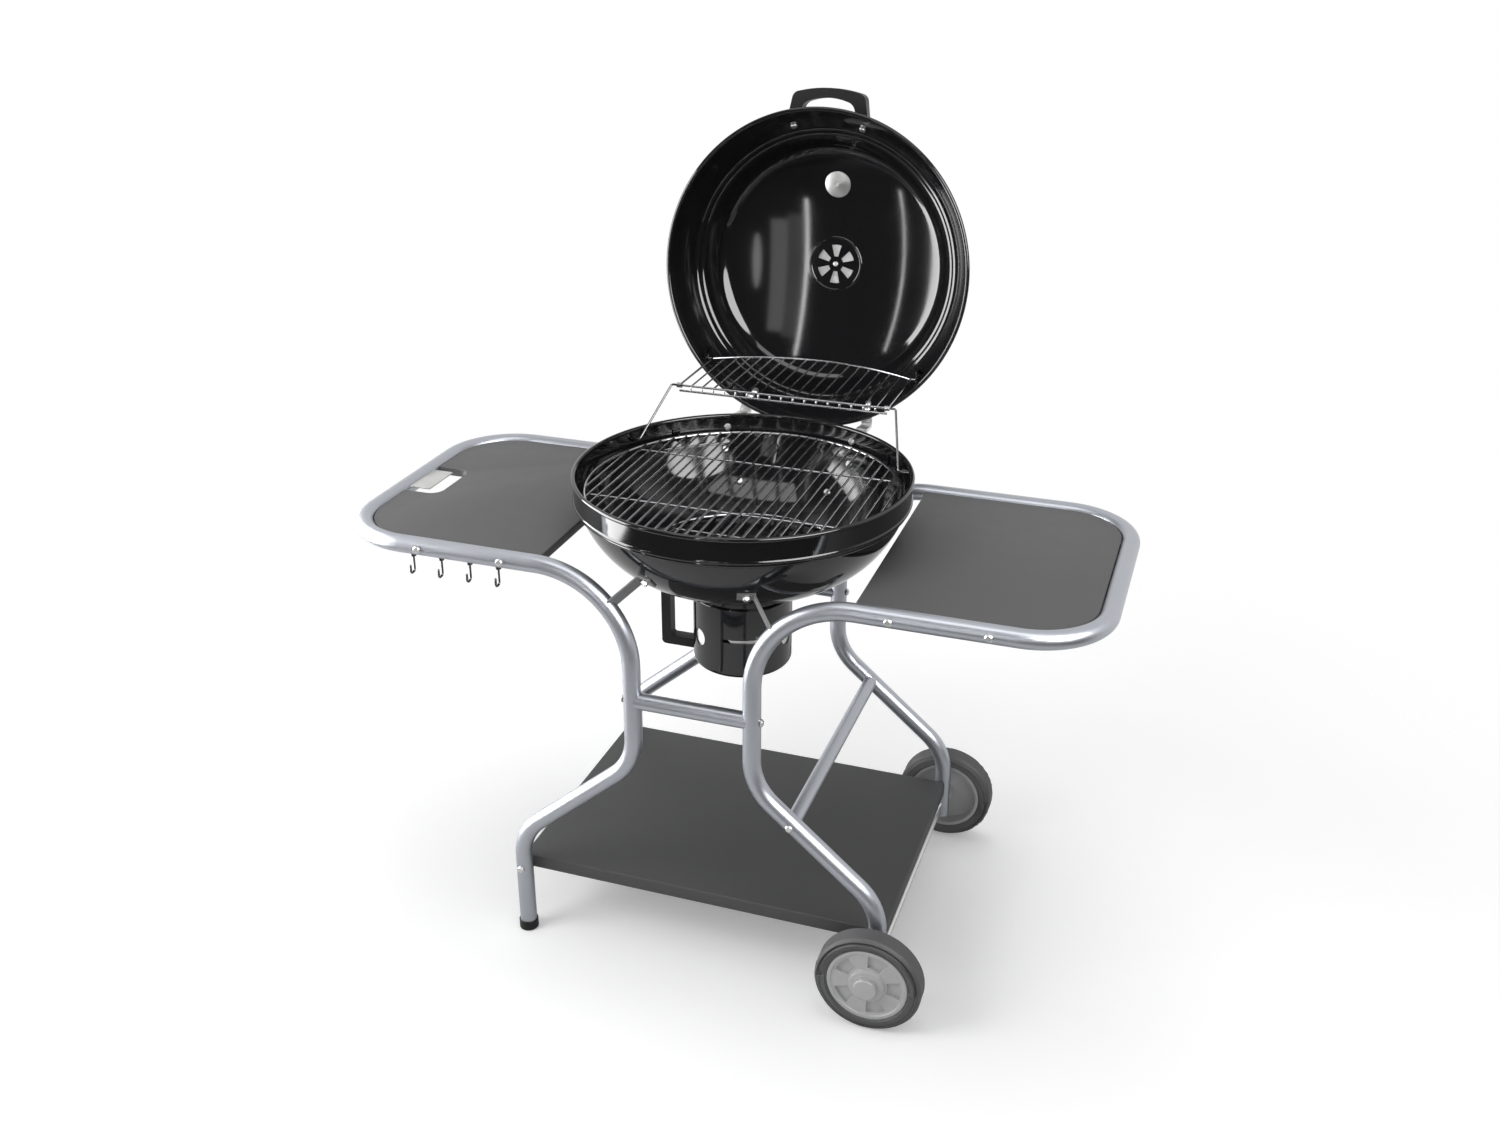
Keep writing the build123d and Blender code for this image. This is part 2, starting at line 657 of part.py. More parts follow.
def bowl_body(grow):
    """Filled outer form of the bowl, for cutting what seats against its wall."""
    side = bowl_side(grow)
    foot = side[0] @ 0
    top = side[-1] @ 1
    return turned(side + [Line(top, (0, top.Y)), Line((0, top.Y), (0, foot.Y)), Line((0, foot.Y), foot)])


def wall_seat(angle, height):
    """Point on the bowl's outer wall at an angle from +Y towards +X, and the outward normal there."""
    if height > BAND_Z:
        radius, out, drop = BAND_R, 1.0, 0.0
    else:
        drop = (height - BELLY_CENTRE[1]) / BELLY_R
        out = sqrt(1 - drop**2)
        radius = FLOOR_R + BELLY_R * out
    turn = radians(angle)
    point = Vector(radius * sin(turn), radius * cos(turn), height)
    return point, Vector(out * sin(turn), out * cos(turn), drop)


def bracket_angles():
    """Angles of the four bowl brackets from +Y towards +X."""
    return (BRACKET_ANGLE, -BRACKET_ANGLE, 180 - BRACKET_ANGLE, 180 + BRACKET_ANGLE)


def bowl_bolt(angle, height, flange):
    """Bolt through the bowl's wall and a flange, with its head inside the bowl."""
    point, normal = wall_seat(angle, height)
    seat = point - normal * (WALL + SEAT_GAP)
    nut_at = WALL + flange + 3 * SEAT_GAP
    return bolt(seat, normal, nut_at + NUT_H + 1, nut_at)


def wall_hole(angle, height):
    """Cutter for a bolt hole through the bowl's wall."""
    point, normal = wall_seat(angle, height)
    return rod(point - normal * 20, point + normal * 20, BOLT_R + BOLT_GAP)


def hinge_angle(height):
    """Angle at which a hinge stands on the wall, measured at a height."""
    point, _ = wall_seat(0, height)
    return degrees(asin(HINGE_X / point.Y))


def make_bowl():
    outer = bowl_side(0)
    inner = belly_arc(BELLY_R - WALL, WAIST_Z)
    lip = outer[-1] @ 1
    lip_in = Vector(BAND_R - WALL, lip.Y)
    neck = Vector(BAND_R - WALL, BAND_Z)
    outline = outer + [
        Line(lip, lip_in),
        Line(lip_in, neck),
        Line(neck, inner @ 1),
        inner,
        Line(inner @ 0, (OUTLET_R, FLOOR_Z + WALL)),
        Line((OUTLET_R, FLOOR_Z + WALL), (OUTLET_R, FLOOR_Z)),
        Line((OUTLET_R, FLOOR_Z), outer[0] @ 0),
    ]
    shell = turned(outline)
    shell += Pos(0, 0, RIM_Z - RIM_ROLL_R) * Torus(BAND_R - WALL / 2, RIM_ROLL_R)
    for angle in bracket_angles():
        shell -= wall_hole(angle, BRACKET_Z)
    for height in HINGE_BOLT_Z:
        for side in (-1, 1):
            shell -= wall_hole(side * hinge_angle(height), height)
    pieces["bowl"] = shell
    collar = Cylinder(COLLAR_R + COLLAR_FLANGE, COLLAR_WALL, align=HANG)
    collar += Cylinder(COLLAR_R, COLLAR_H - SEAT_GAP, align=HANG)
    collar -= Cylinder(COLLAR_R - COLLAR_WALL, COLLAR_H, align=HANG)
    pieces["bowl_collar"] = Pos(0, 0, FLOOR_Z - SEAT_GAP) * collar


def bowl_bracket(side, end):
    """Bent strip: a tab bolted flat on the bowl's wall, folded at its outer end, and a strip down to a tube."""
    angle = side * BRACKET_ANGLE if end > 0 else 180 - side * BRACKET_ANGLE
    point, normal = wall_seat(angle, BRACKET_Z)
    across = Vector(cos(radians(angle)), -sin(radians(angle)), 0)
    frame = Plane(origin=point, x_dir=across, z_dir=normal)
    patch = frame * Box(BRACKET_TAB, BRACKET_W, 40)
    tab = (bowl_body(SEAT_GAP + BRACKET_T) - bowl_body(SEAT_GAP)) & patch
    bend = radians(BRACKET_TUBE_ANGLE)
    reach = SHOULDER_R + TUBE_R
    tube_x = UPRIGHT_X + SHOULDER_R + reach * cos(bend)
    tube_end = Vector(side * tube_x, end * FRAME_Y, RAIL_Z - SHOULDER_R + reach * sin(bend))
    step = degrees((BRACKET_TAB / 2 - BRACKET_T) / hypot(point.X, point.Y)) * (1 if end > 0 else -1) * side
    fold, fold_normal = wall_seat(angle + step, BRACKET_Z)
    start = fold + fold_normal * (SEAT_GAP + BRACKET_T / 2)
    line = tube_end - start
    strip = Plane(origin=start, x_dir=line.cross(frame.y_dir), z_dir=line) * Box(
        BRACKET_T, BRACKET_W, line.length + TUBE_R / 2, align=BASE
    )
    strip -= bowl_body(SEAT_GAP)
    path = rail_path(side)
    keep_out = sweep(Plane(origin=path @ 0, z_dir=path % 0) * Circle(TUBE_R + SEAT_GAP), path)
    strip = (strip - keep_out).solids().sort_by_distance(start)[0]
    return tab + strip - wall_hole(angle, BRACKET_Z)


def arm_back():
    """Two points of the back face of a lid arm, in the closed lid's side view."""
    low = (HINGE_Y + 6, HINGE_Z + 5)
    return low, (HINGE_Y - ARM_INSET + ARM_STRIP, HINGE_Z + 22)


def stop_top():
    """Height of the stop web, just under the back face of the open lid's arm."""
    low, high = [swung(point, -LID_OPEN, HINGE) for point in arm_back()]
    slope = (high[1] - low[1]) / (high[0] - low[0])
    gap = SEAT_GAP * hypot(1, slope)
    return low[1] + (HINGE_Y + STOP_Y - low[0]) * slope - gap


def hinge_bracket(side):
    """Hinge bracket on the bowl: a flange that follows the wall, two ears for the pin and a stop web."""
    wall = bowl_body(SEAT_GAP)
    high = (HINGE_FLANGE_HIGH + HINGE_FLANGE_LOW) / 2
    patch = Pos(side * HINGE_X, HINGE_Y - 50, high) * Box(
        HINGE_FLANGE_W, 80, HINGE_FLANGE_HIGH - HINGE_FLANGE_LOW
    )
    body = (bowl_body(SEAT_GAP + EAR_T) - wall) & patch
    ear = [
        (HINGE_Y - 60, HINGE_Z - 20),
        (HINGE_Y - 60, HINGE_Z + 22),
        (HINGE_Y - 8, HINGE_Z + 13),
        (HINGE_Y + STOP_Y, HINGE_Z + 12),
        (HINGE_Y + STOP_Y + STOP_T, stop_top()),
        (HINGE_Y + STOP_Y + STOP_T, HINGE_Z - STOP_LOW),
    ]
    gap = ARM_W / 2 + MOVE_GAP
    low_x = side * HINGE_X - gap - EAR_T
    for start in (low_x, side * HINGE_X + gap):
        plate = extrude(Plane.YZ.offset(start) * make_face(Polyline(*ear, close=True)), EAR_T)
        body += plate - wall
    web = Box(2 * gap + EAR_T, STOP_T, stop_top() - HINGE_Z + STOP_LOW, align=(Align.CENTER, Align.MIN, Align.MAX))
    body += Pos(side * HINGE_X, HINGE_Y + STOP_Y, stop_top()) * web
    pin = 2 * gap + 4 * EAR_T
    middle = side * HINGE_X
    body -= rod((middle - pin, HINGE_Y, HINGE_Z), (middle + pin, HINGE_Y, HINGE_Z), PIN_R + RUN_GAP)
    for height in HINGE_BOLT_Z:
        body -= wall_hole(side * hinge_angle(height), height)
    return body


def hinge_pin(side):
    """Headed pin through the hinge ears."""
    gap = ARM_W / 2 + MOVE_GAP + EAR_T + SEAT_GAP
    start = (side * HINGE_X - gap, HINGE_Y, HINGE_Z)
    body = rod(start, (side * HINGE_X + gap, HINGE_Y, HINGE_Z), PIN_R)
    for out in (-1, 1):
        near = (side * HINGE_X + out * gap, HINGE_Y, HINGE_Z)
        far = (side * HINGE_X + out * (gap + PIN_HEAD_H), HINGE_Y, HINGE_Z)
        body += rod(near, far, PIN_HEAD_R)
    return body


def rack_boss():
    """Boss inside the bowl's wall that carries one leg of the warming rack."""
    inner_r = BAND_R - WALL - SEAT_GAP
    wall_x = sqrt(inner_r**2 - RACK_PIVOT_Y**2)
    start = wall_x - RACK_BOSS_LEN
    body = rod((start, RACK_PIVOT_Y, RACK_PIVOT_Z), (wall_x + 10, RACK_PIVOT_Y, RACK_PIVOT_Z), RACK_BOSS_R)
    body &= Pos(0, 0, RACK_PIVOT_Z - 20) * Cylinder(inner_r, 40, align=BASE)
    reach = wall_x - MOVE_GAP - 1
    body -= rod((start - 1, RACK_PIVOT_Y, RACK_PIVOT_Z), (reach, RACK_PIVOT_Y, RACK_PIVOT_Z), RACK_LEG_R + RUN_GAP)
    return body


def cook_tab(angle):
    """Angle tab on the bowl's wall that the cooking grate lies on."""
    wall_r = BAND_R - WALL - SEAT_GAP
    top = COOK_Z - COOK_RING_R - SEAT_GAP
    reach = wall_r - COOK_TAB_REACH + 10
    ledge = Pos(COOK_TAB_REACH, 0, top) * Box(
        reach, COOK_TAB_W, COOK_TAB_T, align=(Align.MIN, Align.CENTER, Align.MAX)
    )
    riser = Pos(wall_r - COOK_TAB_T, 0, top) * Box(
        COOK_TAB_T + 10, COOK_TAB_W, COOK_TAB_H, align=(Align.MIN, Align.CENTER, Align.MIN)
    )
    body = ledge + riser
    room = Pos(0, 0, BAND_Z) * Cylinder(wall_r, 2 * COOK_TAB_H, align=BASE)
    return Rot(0, 0, angle) * (body & room)


def make_bowl_fittings():
    corners = [(side, end) for side in (-1, 1) for end in (-1, 1)]
    pieces["bowl_brackets"] = [bowl_bracket(side, end) for side, end in corners]
    fasteners = [bowl_bolt(angle, BRACKET_Z, BRACKET_T) for angle in bracket_angles()]
    for side in (-1, 1):
        fasteners += [bowl_bolt(side * hinge_angle(height), height, EAR_T) for height in HINGE_BOLT_Z]
    pieces["bowl_bolts"] = fasteners
    pieces["left_hinge_bracket"] = hinge_bracket(-1)
    pieces["right_hinge_bracket"] = hinge_bracket(1)
    pieces["hinge_pins"] = [hinge_pin(side) for side in (-1, 1)]
    pieces["rack_bosses"] = list(both_sides(rack_boss()))
    pieces["cook_tabs"] = [cook_tab(45 + turn * 360 / COOK_TABS) for turn in range(COOK_TABS)]


# Lid, modelled as it lies closed and then swung open about its hinge

LID_Z = RIM_Z + LID_REST_GAP
LID_WAIST_R = LID_R - WAIST_IN
LID_WAIST_UP = LID_BAND_H + WAIST_DROP
LID_RISE = LID_DEPTH - LID_WAIST_UP
LID_CROWN_R = ((LID_WAIST_R - LID_SHOULDER_R) ** 2 + LID_RISE**2 - LID_SHOULDER_R**2) / (
    2 * (LID_RISE - LID_SHOULDER_R)
)
LID_CROWN_Z = LID_Z + LID_DEPTH - LID_CROWN_R
LID_TOP_Z = LID_Z + LID_DEPTH
HINGE_AXIS = Axis((0, HINGE_Y, HINGE_Z), (1, 0, 0))


def opened(shape):
    """A lid part in its open place."""
    return shape.rotate(HINGE_AXIS, -LID_OPEN)


def lid_body(grow):
    """Filled form of the lid, grown outwards, as it lies closed: band, two beads, shoulder and crown."""
    band_top = LID_Z + LID_BAND_H
    shoulder = (LID_WAIST_R - LID_SHOULDER_R, LID_Z + LID_WAIST_UP)
    turn = degrees(atan2(shoulder[1] - LID_CROWN_Z, shoulder[0]))
    side = Line((LID_R + grow, LID_Z), (LID_R + grow, band_top))
    ridge = Vector(LID_R - BEAD_IN + grow, band_top + BEAD_DROP)
    lower = bulge(side @ 1, ridge, BEAD_BULGE)
    upper = bulge(ridge, Vector(LID_WAIST_R + grow, LID_Z + LID_WAIST_UP), BEAD_BULGE)
    bend = CenterArc(shoulder, LID_SHOULDER_R + grow, 0, turn)
    crown = CenterArc((0, LID_CROWN_Z), LID_CROWN_R + grow, turn, 90 - turn)
    top = crown @ 1
    return turned([side, lower, upper, bend, crown, Line(top, (0, LID_Z)), Line((0, LID_Z), side @ 0)])


def vent_openings(height, thickness):
    """Six wedge openings round the lid's axis."""
    ring = Circle(VENT_R) - Circle(VENT_HUB_R)
    half = 90 / VENT_COUNT
    far = 2 * VENT_R
    corner = (far * cos(radians(half)), far * sin(radians(half)))
    wedge = make_face(Polyline((0, 0), (corner[0], -corner[1]), corner, close=True))
    cut = extrude(ring & wedge, thickness)
    turns = [turn * 360 / VENT_COUNT for turn in range(VENT_COUNT)]
    return [Pos(0, 0, height) * Rot(0, 0, angle) * cut for angle in turns]


def gauge_plane():
    """Plane on the lid's outer face where the thermometer sits, with its Z axis outwards."""
    rise = sqrt(LID_CROWN_R**2 - GAUGE_REACH**2)
    point = (0, -GAUGE_REACH, LID_CROWN_Z + rise)
    return Plane(origin=point, x_dir=(1, 0, 0), z_dir=(0, -GAUGE_REACH, rise))


def band_bolt(x, up, front, length, nut_at=None):
    """Bolt through the lid's band, with its head inside the lid, and the cutter for its hole."""
    sign = -1 if front else 1
    inner_r = LID_R - WALL - SEAT_GAP
    normal = Vector(x, sign * sqrt(inner_r**2 - x**2), 0).normalized()
    seat = normal * inner_r + Vector(0, 0, LID_Z + up)
    return bolt(seat, normal, length, nut_at), bolt_hole(seat, normal, length + 1)


def arm_bolts():
    """Bolts and hole cutters that hold the hinge arms to the lid's band."""
    nut_at = WALL + ARM_FLANGE_T + 3 * SEAT_GAP
    length = nut_at + NUT_H + 1
    places = [(side * HINGE_X, up) for side in (-1, 1) for up in ARM_BOLT_UP]
    return [band_bolt(x, up, False, length, nut_at) for x, up in places]


def grip_bolts():
    """Bolts and hole cutters that hold the lid's grip."""
    length = WALL + SEAT_GAP + GRIP_BITE
    return [band_bolt(x, GRIP_UP, True, length) for x in (-GRIP_BOLT_X, GRIP_BOLT_X)]


def make_lid_shell():
    shell = lid_body(0) - lid_body(-WALL)
    shell += Pos(0, 0, LID_Z + RIM_ROLL_R) * Torus(LID_R - WALL / 2, RIM_ROLL_R)
    for cut in vent_openings(LID_TOP_Z - 10, 20):
        shell -= cut
    shell -= Pos(0, 0, LID_TOP_Z) * Cylinder(RIVET_R + RUN_GAP, 20)
    shell -= gauge_plane() * Cylinder(PROBE_R + BOLT_GAP, 40)
    for _, hole in arm_bolts() + grip_bolts():
        shell -= hole
    pieces["lid"] = opened(shell)


def hinge_arm(side):
    """Arm from the hinge pin to the lid's band."""
    inner = HINGE_Y - ARM_INSET
    low, high = arm_back()
    outline = [
        (HINGE_Y - 7, HINGE_Z - 5),
        (inner, HINGE_Z + 16),
        (inner, LID_Z + 5),
        (inner - 8, LID_Z + ARM_FLANGE_LOW),
        (inner - 26, LID_Z + ARM_FLANGE_LOW),
        (inner - 26, LID_Z + ARM_FLANGE_LOW + 7),
        (inner - 6, LID_Z + ARM_FLANGE_LOW + 7),
        (inner + ARM_STRIP, LID_Z + ARM_FLANGE_LOW),
        high,
        low,
    ]
    plane = Plane.YZ.offset(side * HINGE_X - ARM_W / 2)
    body = extrude(plane * make_face(Polyline(*outline, close=True)), ARM_W)
    half = ARM_W / 2
    start = (side * HINGE_X - half, HINGE_Y, HINGE_Z)
    end = (side * HINGE_X + half, HINGE_Y, HINGE_Z)
    body += rod(start, end, ARM_EYE_R)
    body -= rod(start, end, PIN_R + RUN_GAP)
    patch = Pos(side * HINGE_X, LID_R, LID_Z + ARM_FLANGE_LOW) * Box(
        ARM_W, LID_R, LID_BAND_H - ARM_FLANGE_LOW, align=BASE
    )
    body += lid_body(SEAT_GAP + ARM_FLANGE_T) & patch
    body -= lid_body(SEAT_GAP)
    for _, hole in arm_bolts():
        body -= hole
    return body


def lid_grip():
    """Moulded lid handle that stands off the front of the band."""
    wall_y = LID_R - 22
    outer_y = LID_R + GRIP_STANDOFF
    bar = GRIP_BAR
    outer = make_face(
        Polyline(
            (-GRIP_HALF_W - 2, -wall_y),
            (-GRIP_HALF_W + 3, -outer_y),
            (GRIP_HALF_W - 3, -outer_y),
            (GRIP_HALF_W + 2, -wall_y),
            close=True,
        )
    )
    outer = fillet(outer.vertices().group_by(Axis.Y)[0], bar)
    inner = make_face(
        Polyline(
            (-GRIP_HALF_W + bar, -wall_y + 1),
            (-GRIP_HALF_W + bar + 3, -outer_y + bar),
            (GRIP_HALF_W - bar - 3, -outer_y + bar),
            (GRIP_HALF_W - bar, -wall_y + 1),
            close=True,
        )
    )
    inner = fillet(inner.vertices().group_by(Axis.Y)[0], bar * 0.6)
    body = Pos(0, 0, LID_Z + GRIP_UP - GRIP_DEEP / 2) * extrude(outer - inner, GRIP_DEEP)
    rounded = body.edges().filter_by(Plane.XY).group_by(Axis.Y)[0]
    body = fillet(rounded, bar * 0.25)
    body -= lid_body(SEAT_GAP)
    for _, hole in grip_bolts():
        body -= hole
    return body


def lid_damper():
    """Round damper plate outside the crown, closed at rest, with a bent tab to turn it by."""
    height = LID_TOP_Z + MOVE_GAP
    plate = Pos(0, 0, height) * Cylinder(DAMPER_R, DAMPER_T, align=BASE)
    for cut in vent_openings(height - 1, DAMPER_T + 2):
        plate -= Rot(0, 0, 180 / VENT_COUNT) * cut
    tab_r = DAMPER_R - DAMPER_T
    plate += Pos(0, tab_r, height) * Box(DAMPER_TAB, DAMPER_T, DAMPER_TAB, align=BASE)
    return plate - Pos(0, 0, height) * Cylinder(RIVET_R + RUN_GAP, 4 * DAMPER_T)


def vent_rivet():
    """Rivet that the damper turns on."""
    top = LID_TOP_Z + MOVE_GAP + DAMPER_T + MOVE_GAP
    low = LID_TOP_Z - WALL - MOVE_GAP
    body = rod((0, 0, low), (0, 0, top), RIVET_R)
    body += Pos(0, 0, top) * Cylinder(RIVET_HEAD_R, RIVET_HEAD_H, align=BASE)
    return body + Pos(0, 0, low) * Cylinder(RIVET_HEAD_R, RIVET_HEAD_H, align=HANG)


def make_gauge():
    plane = gauge_plane()
    low = SEAT_GAP
    floor = low + GAUGE_FLOOR
    bore = GAUGE_R - GAUGE_WALL
    case = Pos(0, 0, low) * Cylinder(GAUGE_R, GAUGE_H, align=BASE)
    case = chamfer(case.edges().filter_by(GeomType.CIRCLE).group_by(Axis.Z)[-1], 1.5)
    case -= Pos(0, 0, floor) * Cylinder(bore, GAUGE_H, align=BASE)
    dial = Pos(0, 0, floor + SEAT_GAP) * Cylinder(bore - SEAT_GAP, 1, align=BASE)
    needle_z = floor + SEAT_GAP + 1 + MOVE_GAP
    glass_z = low + GAUGE_H - GAUGE_GLASS_T - 1
    dial += Pos(0, 0, floor + SEAT_GAP) * Cylinder(POST_R, glass_z - floor - 1, align=BASE)
    glass = Pos(0, 0, glass_z) * Cylinder(bore - SEAT_GAP, GAUGE_GLASS_T, align=BASE)
    pointer = make_face(Polyline((-4, -1.2), (NEEDLE_LEN, -0.4), (NEEDLE_LEN, 0.4), (-4, 1.2), close=True))
    needle = extrude(pointer, NEEDLE_T) + Cylinder(NEEDLE_HUB_R, 2 * NEEDLE_T, align=BASE)
    needle -= Cylinder(POST_R + RUN_GAP, 8)
    needle = Pos(0, 0, needle_z) * Rot(0, 0, 225) * needle
    probe = Pos(0, 0, low - BOLT_GAP) * Cylinder(PROBE_R, PROBE_LEN, align=HANG)
    hollow = PROBE_PLATE_R**2 / (2 * LID_CROWN_R)
    plate_z = -WALL - SEAT_GAP - hollow
    plate = Pos(0, 0, plate_z) * Cylinder(PROBE_PLATE_R, PROBE_PLATE_T, align=HANG)
    plate += Pos(0, 0, plate_z - PROBE_PLATE_T - NUT_H) * extrude(RegularPolygon(1.5 * NUT_R, 6), NUT_H)
    plate -= Cylinder(PROBE_R + BOLT_GAP, 60)
    for name, shape in (
        ("gauge_case", case),
        ("gauge_dial", dial),
        ("gauge_glass", glass),
        ("gauge_needle", needle),
        ("gauge_probe", probe),
        ("gauge_plate", plate),
    ):
        pieces[name] = opened(plane * shape)


def make_lid():
    make_lid_shell()
    pieces["lid_grip"] = opened(lid_grip())
    pieces["grip_bolts"] = [opened(fastener) for fastener, _ in grip_bolts()]
    pieces["left_hinge_arm"] = opened(hinge_arm(-1))
    pieces["right_hinge_arm"] = opened(hinge_arm(1))
    pieces["hinge_arm_bolts"] = [opened(fastener) for fastener, _ in arm_bolts()]
    pieces["lid_damper"] = opened(lid_damper())
    pieces["vent_rivet"] = opened(vent_rivet())
    make_gauge()


# Warming rack, a four-bar linkage with the lid: legs on the bowl, rear pins in hangers on the lid


def swung(point, angle, centre):
    """A point of the side view, as (y, z), turned about a centre by an angle in degrees."""
    turn = radians(angle)
    y, z = point[0] - centre[0], point[1] - centre[1]
    return (centre[0] + y * cos(turn) - z * sin(turn), centre[1] + y * sin(turn) + z * cos(turn))


HINGE = (HINGE_Y, HINGE_Z)
LEG_PIVOT = (RACK_PIVOT_Y, RACK_PIVOT_Z)
FRONT_PIVOT = (RACK_FRONT_Y, RACK_Z)
REAR_PIN = (RACK_REAR_Y, RACK_Z)


def heading(start, end):
    """Direction of a line in the side view, in degrees."""
    return degrees(atan2(end[1] - start[1], end[0] - start[0]))


def rack_closure():
    """Turn of the legs, and of the rack against its legs, from lid open to lid closed."""
    leg_len = hypot(FRONT_PIVOT[0] - LEG_PIVOT[0], FRONT_PIVOT[1] - LEG_PIVOT[1])
    rack_len = hypot(REAR_PIN[0] - FRONT_PIVOT[0], REAR_PIN[1] - FRONT_PIVOT[1])
    pin = swung(REAR_PIN, LID_OPEN, HINGE)
    gap = hypot(pin[0] - LEG_PIVOT[0], pin[1] - LEG_PIVOT[1])
    corner = degrees(acos((leg_len**2 + gap**2 - rack_len**2) / (2 * leg_len * gap)))
    leg_turn = heading(LEG_PIVOT, pin) + corner - heading(LEG_PIVOT, FRONT_PIVOT)
    front = swung(FRONT_PIVOT, leg_turn, LEG_PIVOT)
    rack_turn = heading(front, pin) - heading(FRONT_PIVOT, REAR_PIN) - leg_turn
    return leg_turn, rack_turn


LEG_TURN, RACK_TURN = rack_closure()


def pin_drift(share):
    """Place of the rear pin in the closed lid's side view when the lid is part of the way down."""
    front = swung(FRONT_PIVOT, share * LEG_TURN, LEG_PIVOT)
    moved = swung(REAR_PIN, share * LEG_TURN, LEG_PIVOT)
    moved = swung(moved, share * RACK_TURN, front)
    return swung(moved, (1 - share) * LID_OPEN, HINGE)


def hanger_place():
    """Inner face of a hanger plate across the lid, where the pin clears the lid's wall."""
    pin_y = max(abs(pin_drift(share / 8)[0]) for share in range(9))
    return sqrt((LID_R - WALL - SEAT_GAP - HANGER_EDGE) ** 2 - pin_y**2)


RACK_HALF_W = floor(hanger_place() - RACK_FRAME_R - HANGER_SIDE)


def rack_leg():
    """Wheel-side leg: a bent wire with a foot pin in the bowl's boss and a top pin in the rack's eye."""
    wall_x = sqrt((BAND_R - WALL - SEAT_GAP) ** 2 - RACK_PIVOT_Y**2)
    foot_end = wall_x - 2 * MOVE_GAP - 1
    top_x = RACK_HALF_W + RACK_EYE_LEN / 2 + MOVE_GAP + 2 * RACK_LEG_BEND_R
    path = FilletPolyline(
        (foot_end, *LEG_PIVOT),
        (RACK_LEG_FOOT_X, *LEG_PIVOT),
        (top_x, *FRONT_PIVOT),
        (RACK_HALF_W - RACK_EYE_LEN / 2 - 1, *FRONT_PIVOT),
        radius=RACK_LEG_BEND_R,
    )
    return sweep(Plane(origin=path @ 0, z_dir=path % 0) * Circle(RACK_LEG_R), path)


def rack_rear(x):
    """Distance back to the rear arc of the rack at a place across it."""
    sag = RACK_MID_Y - RACK_REAR_Y
    radius = (RACK_HALF_W**2 + sag**2) / (2 * sag)
    return RACK_MID_Y - radius + sqrt(radius**2 - x**2)


def warming_rack():
    """Wire rack with an arched rear wire, a turned-down front lip, end eyes and rear pins."""
    sag = RACK_MID_Y - RACK_REAR_Y
    hanger_x = hanger_place() + HANGER_T
    rear = ThreePointArc(
        (-RACK_HALF_W, RACK_REAR_Y, RACK_Z), (0, RACK_REAR_Y + sag, RACK_Z), (RACK_HALF_W, RACK_REAR_Y, RACK_Z)
    )
    start = Plane(origin=rear @ 0, z_dir=rear % 0)
    body = sweep(start * RegularPolygon(RACK_FRAME_R, 6), rear)
    low_z = RACK_Z - RACK_LIP
    ends = (-RACK_HALF_W, RACK_HALF_W)
    body += wire((ends[0], RACK_FRONT_Y, RACK_Z), (ends[1], RACK_FRONT_Y, RACK_Z), RACK_FRAME_R)
    body += wire((ends[0], RACK_FRONT_Y, low_z), (ends[1], RACK_FRONT_Y, low_z), RACK_FRAME_R)
    eye_hole = Rot(0, 90, 0) * Cylinder(RACK_LEG_R + RUN_GAP, 2 * RACK_EYE_LEN)
    for x in ends:
        sign = 1 if x > 0 else -1
        body += wire((x, RACK_FRONT_Y, RACK_Z), (x, RACK_REAR_Y, RACK_Z), RACK_FRAME_R)
        body += wire((x - sign, *REAR_PIN), (sign * (hanger_x + 2), *REAR_PIN), RACK_FRAME_R, 8)
        eye = Pos(x, *FRONT_PIVOT) * (Rot(0, 90, 0) * Cylinder(RACK_EYE_R, RACK_EYE_LEN))
        body += eye
    pitch = 2 * RACK_HALF_W / (RACK_BARS + 1)
    bar_z = RACK_Z - RACK_FRAME_R / 2
    for count in range(1, RACK_BARS + 1):
        x = -RACK_HALF_W + count * pitch
        body += wire((x, RACK_FRONT_Y, bar_z), (x, rack_rear(x), bar_z), RACK_BAR_R, 4)
        body += wire((x, RACK_FRONT_Y, low_z), (x, RACK_FRONT_Y, RACK_Z), RACK_BAR_R, 4)
    for x in ends:
        body -= Pos(x, *FRONT_PIVOT) * eye_hole
    return body


def rack_hanger():
    """Plate inside the lid's band, with a slot that the rack's rear pin rides in."""
    inner_r = LID_R - WALL - SEAT_GAP
    still = pin_drift(0)
    places = [pin_drift(share / 8) for share in range(9)]
    far = max(places, key=lambda place: hypot(place[0] - still[0], place[1] - still[1]))
    travel = hypot(far[0] - still[0], far[1] - still[1])
    width = 2 * (RACK_FRAME_R + HANGER_PLAY)
    middle = ((still[0] + far[0]) / 2, (still[1] + far[1]) / 2)
    turn = heading(still, far) if travel > 0 else 0
    slot = SlotOverall(travel + width, width) if travel > 0.5 else Circle(width / 2)
    half = (travel + width) / 2 + 5
    plate = Pos(*middle) * Rectangle(2 * half + 40, 2 * half)
    plate -= Pos(*middle) * Rot(0, 0, turn) * slot
    body = extrude(Plane.YZ.offset(hanger_place()) * plate, HANGER_T)
    reach = Pos(0, middle[0] - half, 0) * Box(800, 400, 4000, align=(Align.CENTER, Align.MIN, Align.CENTER))
    low = 2 * RIM_ROLL_R + 1
    room = Pos(0, 0, LID_Z + low) * Cylinder(inner_r, LID_BAND_H - low, align=BASE)
    return body & reach & room


def make_rack():
    right, left = both_sides(rack_leg())
    pieces["right_rack_leg"] = right
    pieces["left_rack_leg"] = left
    pieces["warming_rack"] = warming_rack()
    pieces["rack_hangers"] = [opened(hanger) for hanger in both_sides(rack_hanger())]


# Grates


